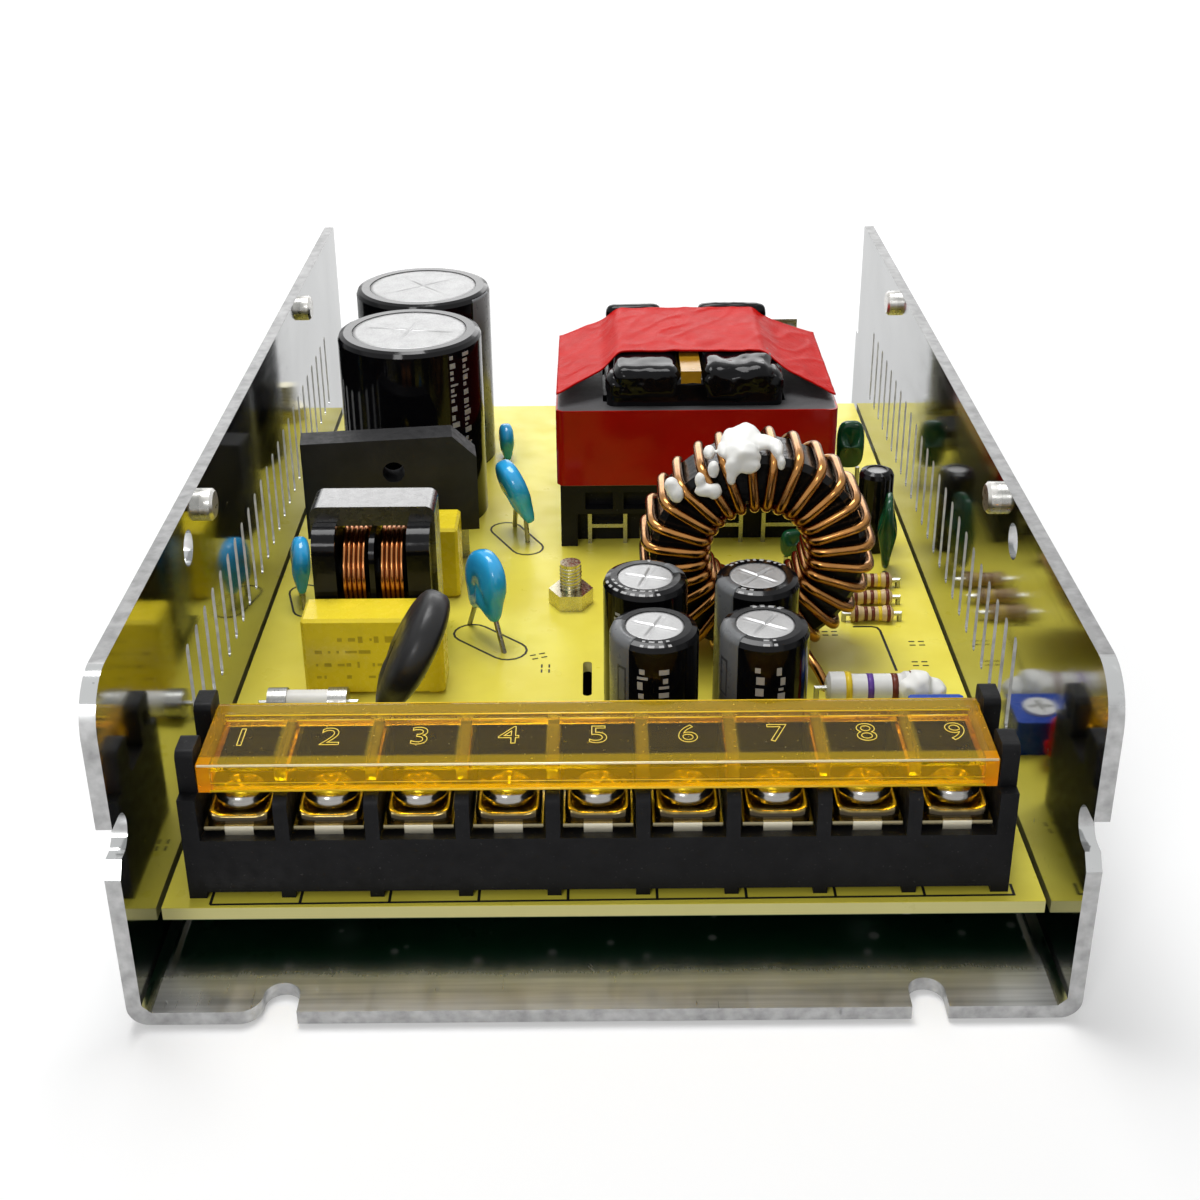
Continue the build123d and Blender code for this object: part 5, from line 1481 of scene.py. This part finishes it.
boxes = bmesh.new()
for spot, start, stop in ((out_spots[0], 214, 230), (out_spots[1], 194, 211)):
    for first, last, low, high in (
        (start, stop, 0.56, 0.575), (start, stop, 0.77, 0.785),
        (start + 0.1, start + 2.6, 0.570, 0.775), (stop - 2.6, stop - 0.1, 0.570, 0.775),
    ):
        patch(boxes, spot, cut_path(out_path, low, high), first, last, 0.06)
seat(formed("stripe_boxes", boxes, "stripe_dark"), "supply", "black_sleeve")

marks = bmesh.new()
shapes = random.Random(7)
for spot, columns in (
    (out_spots[0], ((246, 260), (274, 287))), (out_spots[1], ((252, 266), (280, 293))),
    (out_spots[2], ((222, 233), (244, 255))), (out_spots[3], ((250, 262),)),
):
    for first, last in columns:
        level = 0.80
        while level > 0.12:
            tall = shapes.choice((0.016, 0.030, 0.046))
            wide = (last - first) * shapes.choice((0.5, 0.75, 1.0))
            start = first + (last - first - wide) * shapes.random()
            patch(marks, spot, cut_path(out_path, level - tall, level), start, start + wide)
            level -= tall + shapes.choice((0.016, 0.024))
for spot, spans in (
    (out_spots[0], ((248, 300),)), (out_spots[1], ((58, 108), (262, 290))),
    (out_spots[2], ((190, 300), (80, 96))), (out_spots[3], ((40, 140), (236, 268))),
):
    for first, last in spans:
        angle = first
        while angle < last - 5:
            wide = shapes.choice((5, 7, 9))
            for low, high in ((0.93, 0.945), (0.965, 0.98)):
                patch(marks, spot, cut_path(out_path, low, high), angle, angle + wide)
            angle += wide + 6
for first in (308, 321):
    level = 0.90
    while level > 0.40:
        tall = shapes.choice((0.010, 0.018, 0.026))
        wide = shapes.choice((3, 5, 7))
        patch(marks, bulk_spots[0], cut_path(bulk_path, level - tall, level), first, first + wide, 0.06)
        level -= tall + shapes.choice((0.012, 0.020))
seat(formed("sleeve_marks", marks, "mark_pale"), "supply", "black_sleeve")


# %% [markdown]
# ## Bands on the resistors
#
# The resistors have painted rings, some on the waist and some on the wider cups at the ends.
# Each ring is a short closed tube just proud of the body, at its place along the axis.

# %% Bands on the resistors
band_thick = 0.12
waist_share = 0.86


def ring_band(form, x, y, z, radius, wide):
    """A thin closed ring about an axis that runs along x."""
    around = 28
    left, right, inner = x - wide / 2, x + wide / 2, radius - band_thick
    loops = [
        circle(form, at, y, z, r, around)
        for at, r in ((left, radius), (right, radius), (right, inner), (left, inner))
    ]
    for first, second in zip(loops, loops[1:] + loops[:1]):
        for k in range(around):
            after = (k + 1) % around
            form.faces.new((first[k], first[after], second[after], second[k]))


def bands(x, y, z, radius, length, lift, wide, places):
    """Bands along one resistor, larger on its two cups than on its waist."""
    for offset, colour in places:
        on_cup = abs(offset) > length * 0.3 - 0.5
        ring_band(colour, x + offset, y, z, radius * (1.0 if on_cup else waist_share) + lift, wide)


small_radius, small_long = 1.15, 6.0
load_x, load_y, load_level, load_radius, load_long = 34.8, -30.2, 9.65, 2.1, 12.5
brown, yellow, violet = bmesh.new(), bmesh.new(), bmesh.new()
small_places = ((-2.25, brown), (-0.9, brown), (0.1, brown), (1.1, yellow), (2.25, brown))
load_places = ((-3.55, yellow), (-0.75, violet), (2.35, brown), (4.7, brown))
for x, y in ((37.8, -8.0), (38.4, -3.1), (39.2, 2.1)):
    bands(x, y, board_level + small_radius, small_radius, small_long, 0.03, 0.5, small_places)
bands(load_x, load_y, load_level, load_radius, load_long, 0.04, 0.8, load_places)
seat(formed("brown_bands", brown, "band_brown", True), "supply", "tan_resistor")
seat(formed("yellow_bands", yellow, "band_yellow", True), "supply", "tan_resistor")
seat(formed("violet_bands", violet, "band_violet", True), "supply", "pale_resistor")


# %% [markdown]
# ## Glue
#
# White glue was squeezed on by hand. On the choke it fills between the turns and hangs in drops,
# and it holds one end of the large resistor. Drops are balls of uneven size that a voxel remesh
# melts into each other. A smooth modifier takes the steps off. Both modifiers are run and gone
# before the piece is seated.

# %% Glue
def melted(name, balls, voxel, finish_name):
    """Melt balls, given as middle and three radii in millimetres, into one smooth skin."""
    form = bmesh.new()
    for number, (middle, radii) in enumerate(balls):
        sized = Matrix.Diagonal((*[r * mm for r in radii], 1.0))
        placed = Matrix.Translation(Vector(middle) * mm) @ sized
        made = bmesh.ops.create_icosphere(form, subdivisions=4, radius=1.0)
        for vertex in made["verts"]:
            swell = 1 + 0.14 * noise.noise(vertex.co * 1.7 + Vector((number * 3.3, 0, 0)))
            vertex.co = placed @ (vertex.co * swell)
    data = bpy.data.meshes.new(name)
    form.to_mesh(data)
    form.free()
    draft = in_scene(name, data)
    melt = draft.modifiers.new("melt", "REMESH")
    melt.mode = "VOXEL"
    melt.voxel_size = voxel * mm
    calm = draft.modifiers.new("calm", "SMOOTH")
    calm.iterations = 14
    calm.factor = 0.6
    skin = final_mesh(draft)
    bpy.data.objects.remove(draft)
    return dressed(name, skin, finish_name)


glue_balls = [
    ((17.2, -16.0, 37.6), (1.7, 3.6, 1.6)), ((18.8, -15.4, 38.0), (1.9, 3.8, 1.4)),
    ((18.0, -19.4, 37.3), (2.3, 1.8, 1.8)), ((18.6, -20.5, 36.3), (1.6, 0.8, 1.1)),
    ((16.7, -20.6, 36.2), (1.0, 0.9, 1.4)), ((16.5, -20.9, 35.0), (0.62, 0.7, 1.2)),
    ((15.9, -17.6, 37.3), (1.0, 2.0, 1.0)), ((20.6, -17.0, 38.1), (1.9, 1.9, 0.8)),
    ((22.4, -18.2, 37.7), (0.85, 2.2, 1.2)), ((22.8, -20.2, 36.6), (0.55, 0.7, 1.0)),
    ((13.9, -17.6, 37.0), (0.75, 1.3, 0.9)), ((14.3, -20.0, 35.7), (0.75, 0.8, 1.2)),
    ((12.6, -20.5, 34.5), (0.7, 0.8, 1.0)), ((13.2, -20.9, 33.2), (1.3, 0.9, 0.9)),
    ((14.4, -20.9, 33.1), (1.0, 0.9, 1.1)), ((9.0, -20.0, 33.6), (0.95, 0.9, 1.1)),
    ((9.7, -20.5, 32.5), (0.95, 0.9, 1.2)), ((9.3, -20.3, 33.0), (1.0, 0.8, 1.2)),
]
seat(melted("glue_drops", glue_balls, 0.16, "white_glue"), "supply", "white_glue", "toroid_glue")
end_balls = [
    ((load_x + 5.3, load_y - 0.5, board_level + 3.2), (2.0, 2.3, 1.9)),
    ((load_x + 7.2, load_y - 0.4, board_level + 2.2), (1.9, 1.9, 1.6)),
    ((load_x + 3.7, load_y - 1.3, board_level + 3.0), (1.1, 1.2, 1.4)),
    ((load_x + 6.3, load_y, board_level + 1.0), (1.8, 1.8, 1.1)),
]
seat(melted("resistor_glue", end_balls, 0.18, "white_glue"), "supply", "white_glue")


# %% [markdown]
# ## The choke's lead
#
# The end of the choke's wire bends over and goes down into the board. A curve through five
# points with a round bevel makes it, and becomes a mesh at once.

# %% The choke's lead
def bent_wire(name, points, radius, finish_name):
    """A round wire along a smooth line through the points, in millimetres."""
    curve = bpy.data.curves.new(name, "CURVE")
    curve.dimensions = "3D"
    curve.bevel_depth = radius * mm
    curve.bevel_resolution = 3
    curve.resolution_u = 8
    curve.use_fill_caps = True
    run = curve.splines.new("BEZIER")
    run.bezier_points.add(len(points) - 1)
    for spot, place in zip(run.bezier_points, points):
        spot.co = Vector(place) * mm
        spot.handle_left_type = spot.handle_right_type = "AUTO"
    drawn = in_scene(name, curve)
    wire = final_mesh(drawn)
    bpy.data.objects.remove(drawn)
    return dressed(name, wire, finish_name)


lead_route = [
    (25.2, -19.6, 9.9), (26.4, -21.2, 10.6), (27.4, -23.6, 10.0), (28.6, -25.7, 8.6),
    (29.4, -26.8, 6.9),
]
seat(bent_wire("coil_lead", lead_route, 0.6, "copper_wire"), "supply", "copper_wire")


# %% [markdown]
# ## Print on the board
#
# Black print on the board marks where the parts go, with circles round the output capacitors
# and short double dashes. Each line is a ribbon a few hundredths of a millimetre thick.

# %% Print on the board
print_tall = 0.04
print_sunk = 0.01
ring_radius = 5.7
dash_long, dash_step, dash_apart = 0.8, 1.3, 1.0


def ribbon(form, points, wide, closed=False):
    """Add a flat line on the board, with mitred corners."""
    count = len(points)
    rails = []
    for n in range(count):
        here = Vector(points[n])
        before = Vector(points[n - 1]) if (closed or n) else here
        after = Vector(points[(n + 1) % count]) if (closed or n < count - 1) else here
        run = ((after - here).normalized() + (here - before).normalized()).normalized()
        out = Vector((-run.y, run.x)) * wide / 2
        rails.append([
            form.verts.new(Vector((*(here + out * side), board_level + up)) * mm)
            for side, up in ((-1, -print_sunk), (-1, print_tall), (1, print_tall), (1, -print_sunk))
        ])
    pairs = zip(rails, rails[1:] + (rails[:1] if closed else []))
    for first, second in pairs:
        for k in range(4):
            form.faces.new((first[k], second[k], second[(k + 1) % 4], first[(k + 1) % 4]))
    if not closed:
        form.faces.new(rails[0])
        form.faces.new(list(reversed(rails[-1])))


def turned(x, y, u, v, angle):
    """The point that is u along and v across from x, y, in a frame turned by an angle."""
    c, s = math.cos(angle), math.sin(angle)
    return (x + u * c - v * s, y + u * s + v * c)


def long_ring(x, y, half_long, half_wide, turn):
    """Points of a stadium outline on the board."""
    points = []
    for end in (1, -1):
        for step in range(9):
            a = math.pi * (step / 8 - 0.5) + (0 if end == 1 else math.pi)
            u = end * (half_long - half_wide) + half_wide * math.cos(a)
            points.append(turned(x, y, u, half_wide * math.sin(a), math.radians(turn)))
    return points


legend = bmesh.new()
block_left, block_right, block_front, block_foot = -42.0, 43.95, -69.6, -67.2
pitch = (block_right - block_left) / way_count
ribbon(legend, [(block_left, block_front), (block_right, block_front + 0.55)], 0.28)
for n in range(way_count + 1):
    x = block_left + n * pitch
    ribbon(legend, [(x, block_front + 0.05 * n), (x, block_foot)], 0.30)
ribbon(legend, [(35.0, -9.7), (37.6, -9.7), (38.3, -10.0), (38.6, -10.8), (39.1, -21.8)], 0.35)
for x, y, half_long, half_wide, turn in (
    (-15.3, -13.1, 6.1, 2.5, 137), (-13.0, 19.4, 6.2, 2.4, 118), (-42.4, -0.6, 5.0, 2.2, 105),
):
    ribbon(legend, long_ring(x, y, half_long, half_wide, turn), 0.30, closed=True)
ring_angles = [math.radians(degrees) for degrees in range(0, 360, 10)]
for x, y in out_spots:
    ring = [(x + ring_radius * math.cos(a), y + ring_radius * math.sin(a)) for a in ring_angles]
    ribbon(legend, ring, 0.25, closed=True)
# x, y and turn of each pair of double dashes
for x, y, turn in (
    (-9.5, -17.5, 20), (-7.5, -21.5, 90), (42.0, -14.5, 0), (41.5, -20.0, 0), (-22.0, 1.5, 90),
    (43.6, -58.0, 80), (-45.2, -60.0, 90), (30.5, -11.5, 0), (-2.5, 55.0, 0), (8.0, 9.5, 0),
):
    angle = math.radians(turn)
    for u in (0.0, dash_step):
        for v in (-dash_apart / 2, dash_apart / 2):
            first = turned(x, y, u, v, angle)
            ribbon(legend, [first, turned(*first, dash_long, 0.0, angle)], 0.22)
seat(formed("board_legend", legend, "board_print"), "supply", "yellow_board")


# %% [markdown]
# ## Print on the front box
#
# The front yellow box carries four rows of print on its face. The marks are small plain bars of
# uneven width and height.

# %% Print on the front box
def front_mark(form, x0, x1, z0, z1, y):
    """A thin raised bar on a face that looks to the front."""
    outline = ((x0, z0), (x1, z0), (x1, z1), (x0, z1))
    v = [form.verts.new(Vector((x, y + d, z)) * mm) for d in (0.02, -0.03) for x, z in outline]
    for face in ((0, 1, 2, 3), (4, 5, 6, 7), (0, 1, 5, 4), (1, 2, 6, 5), (2, 3, 7, 6), (3, 0, 4, 7)):
        form.faces.new([v[k] for k in face])


box_marks = bmesh.new()
shapes = random.Random(21)
front_box = [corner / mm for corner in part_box("front_film_capacitor")]
box_face = front_box[0].y
for row, level in enumerate((15.3, 13.5, 11.6, 9.8)):
    x = front_box[0].x + (1.6 if row else 4.6)
    while x < front_box[1].x - 2.6:
        wide = shapes.choice((0.3, 0.6, 0.9, 1.5))
        tall = shapes.choice((0.35, 0.5, 0.9))
        if shapes.random() < 0.85:
            front_mark(box_marks, x, x + wide, level - tall / 2, level + tall / 2, box_face)
        x += wide + shapes.choice((0.25, 0.35, 0.8))
seat(formed("box_marks", box_marks, "print_ochre"), "supply", "yellow_box")


# %% [markdown]
# ## Light
#
# The object stands on white in soft light. The world is white for the camera, for reflections
# and through the clear flap, and weaker for the light it gives. Most of the light comes from
# above and behind, which leaves the fronts of the pieces darker than their tops and puts a pale
# sheen on every level face, as in the photograph.

# %% Light
world = bpy.data.worlds.new("white_room")
bpy.context.scene.world = world
world.use_nodes = True
sky = Wiring(world.node_tree)
background = sky.tree.nodes["Background"]
background.inputs["Color"].default_value = (1, 1, 1, 1)
rays = sky.new("LightPath").outputs
seen = sky.together("MAXIMUM", rays["Is Camera Ray"], rays["Is Glossy Ray"], rays["Is Transmission Ray"])
sky.link(sky.by_share(seen, 0.30, 1.0), background.inputs["Strength"])


def soft_lamp(name, place, aim, size, watts):
    """A rectangular area lamp at a place, turned to a point and hidden from the camera."""
    data = bpy.data.lights.new(name, "AREA")
    data.shape = "RECTANGLE"
    data.size, data.size_y = size
    data.energy = watts
    lamp = in_scene(name, data)
    lamp.location = place
    lamp.rotation_euler = (Vector(aim) - Vector(place)).to_track_quat("-Z", "Y").to_euler()
    lamp.visible_camera = False


soft_lamp("lamp_above", (-0.06, 0.10, 0.52), (0, 0, 0), (0.26, 0.26), 2.3)
soft_lamp("lamp_behind", (0.0, 0.85, 0.32), (0, 0, 0.02), (0.60, 0.30), 1.35)
soft_lamp("lamp_front", (-0.16, -0.48, 0.32), (0, -0.03, 0.02), (0.12, 0.12), 0.55)
bpy.context.scene.view_settings.view_transform = "Standard"


# %% [markdown]
# ## Floor
#
# The floor keeps a soft shadow under the case. To the camera and in mirror images it also glows
# a little, and more with distance, so that it runs into the white of the world without putting
# more light on the object.

# %% Floor
floor_half = 3.0
floor_level = -0.0004


def floor_paint():
    finish = Finish("floor_paint", grey(0.66), 0.9, Specular_IOR_Level=0.0)
    rays = finish.new("LightPath").outputs
    seen = finish.math("MAXIMUM", rays["Is Camera Ray"], rays["Is Glossy Ray"])
    away = finish.new("VectorMath")
    away.operation = "LENGTH"
    finish.link(finish.place, away.inputs[0])
    rise = finish.span(away.outputs["Value"], 0.12, 0.55, 0.30, 0.80)
    glow = finish.new("Emission")
    finish.link(finish.math("MULTIPLY", seen, rise), glow.inputs["Strength"])
    both = finish.new("AddShader")
    finish.link(finish.shader.outputs["BSDF"], both.inputs[0])
    finish.link(glow.outputs["Emission"], both.inputs[1])
    finish.link(both.outputs["Shader"], finish.tree.nodes["Material Output"].inputs["Surface"])


floor_paint()
floor_mesh = bpy.data.meshes.new("floor")
corners = [(x * floor_half, y * floor_half, floor_level) for x, y in ((-1, -1), (1, -1), (1, 1), (-1, 1))]
floor_mesh.from_pydata(corners, [], [(0, 1, 2, 3)])
dressed("floor", floor_mesh, "floor_paint", smooth=False)
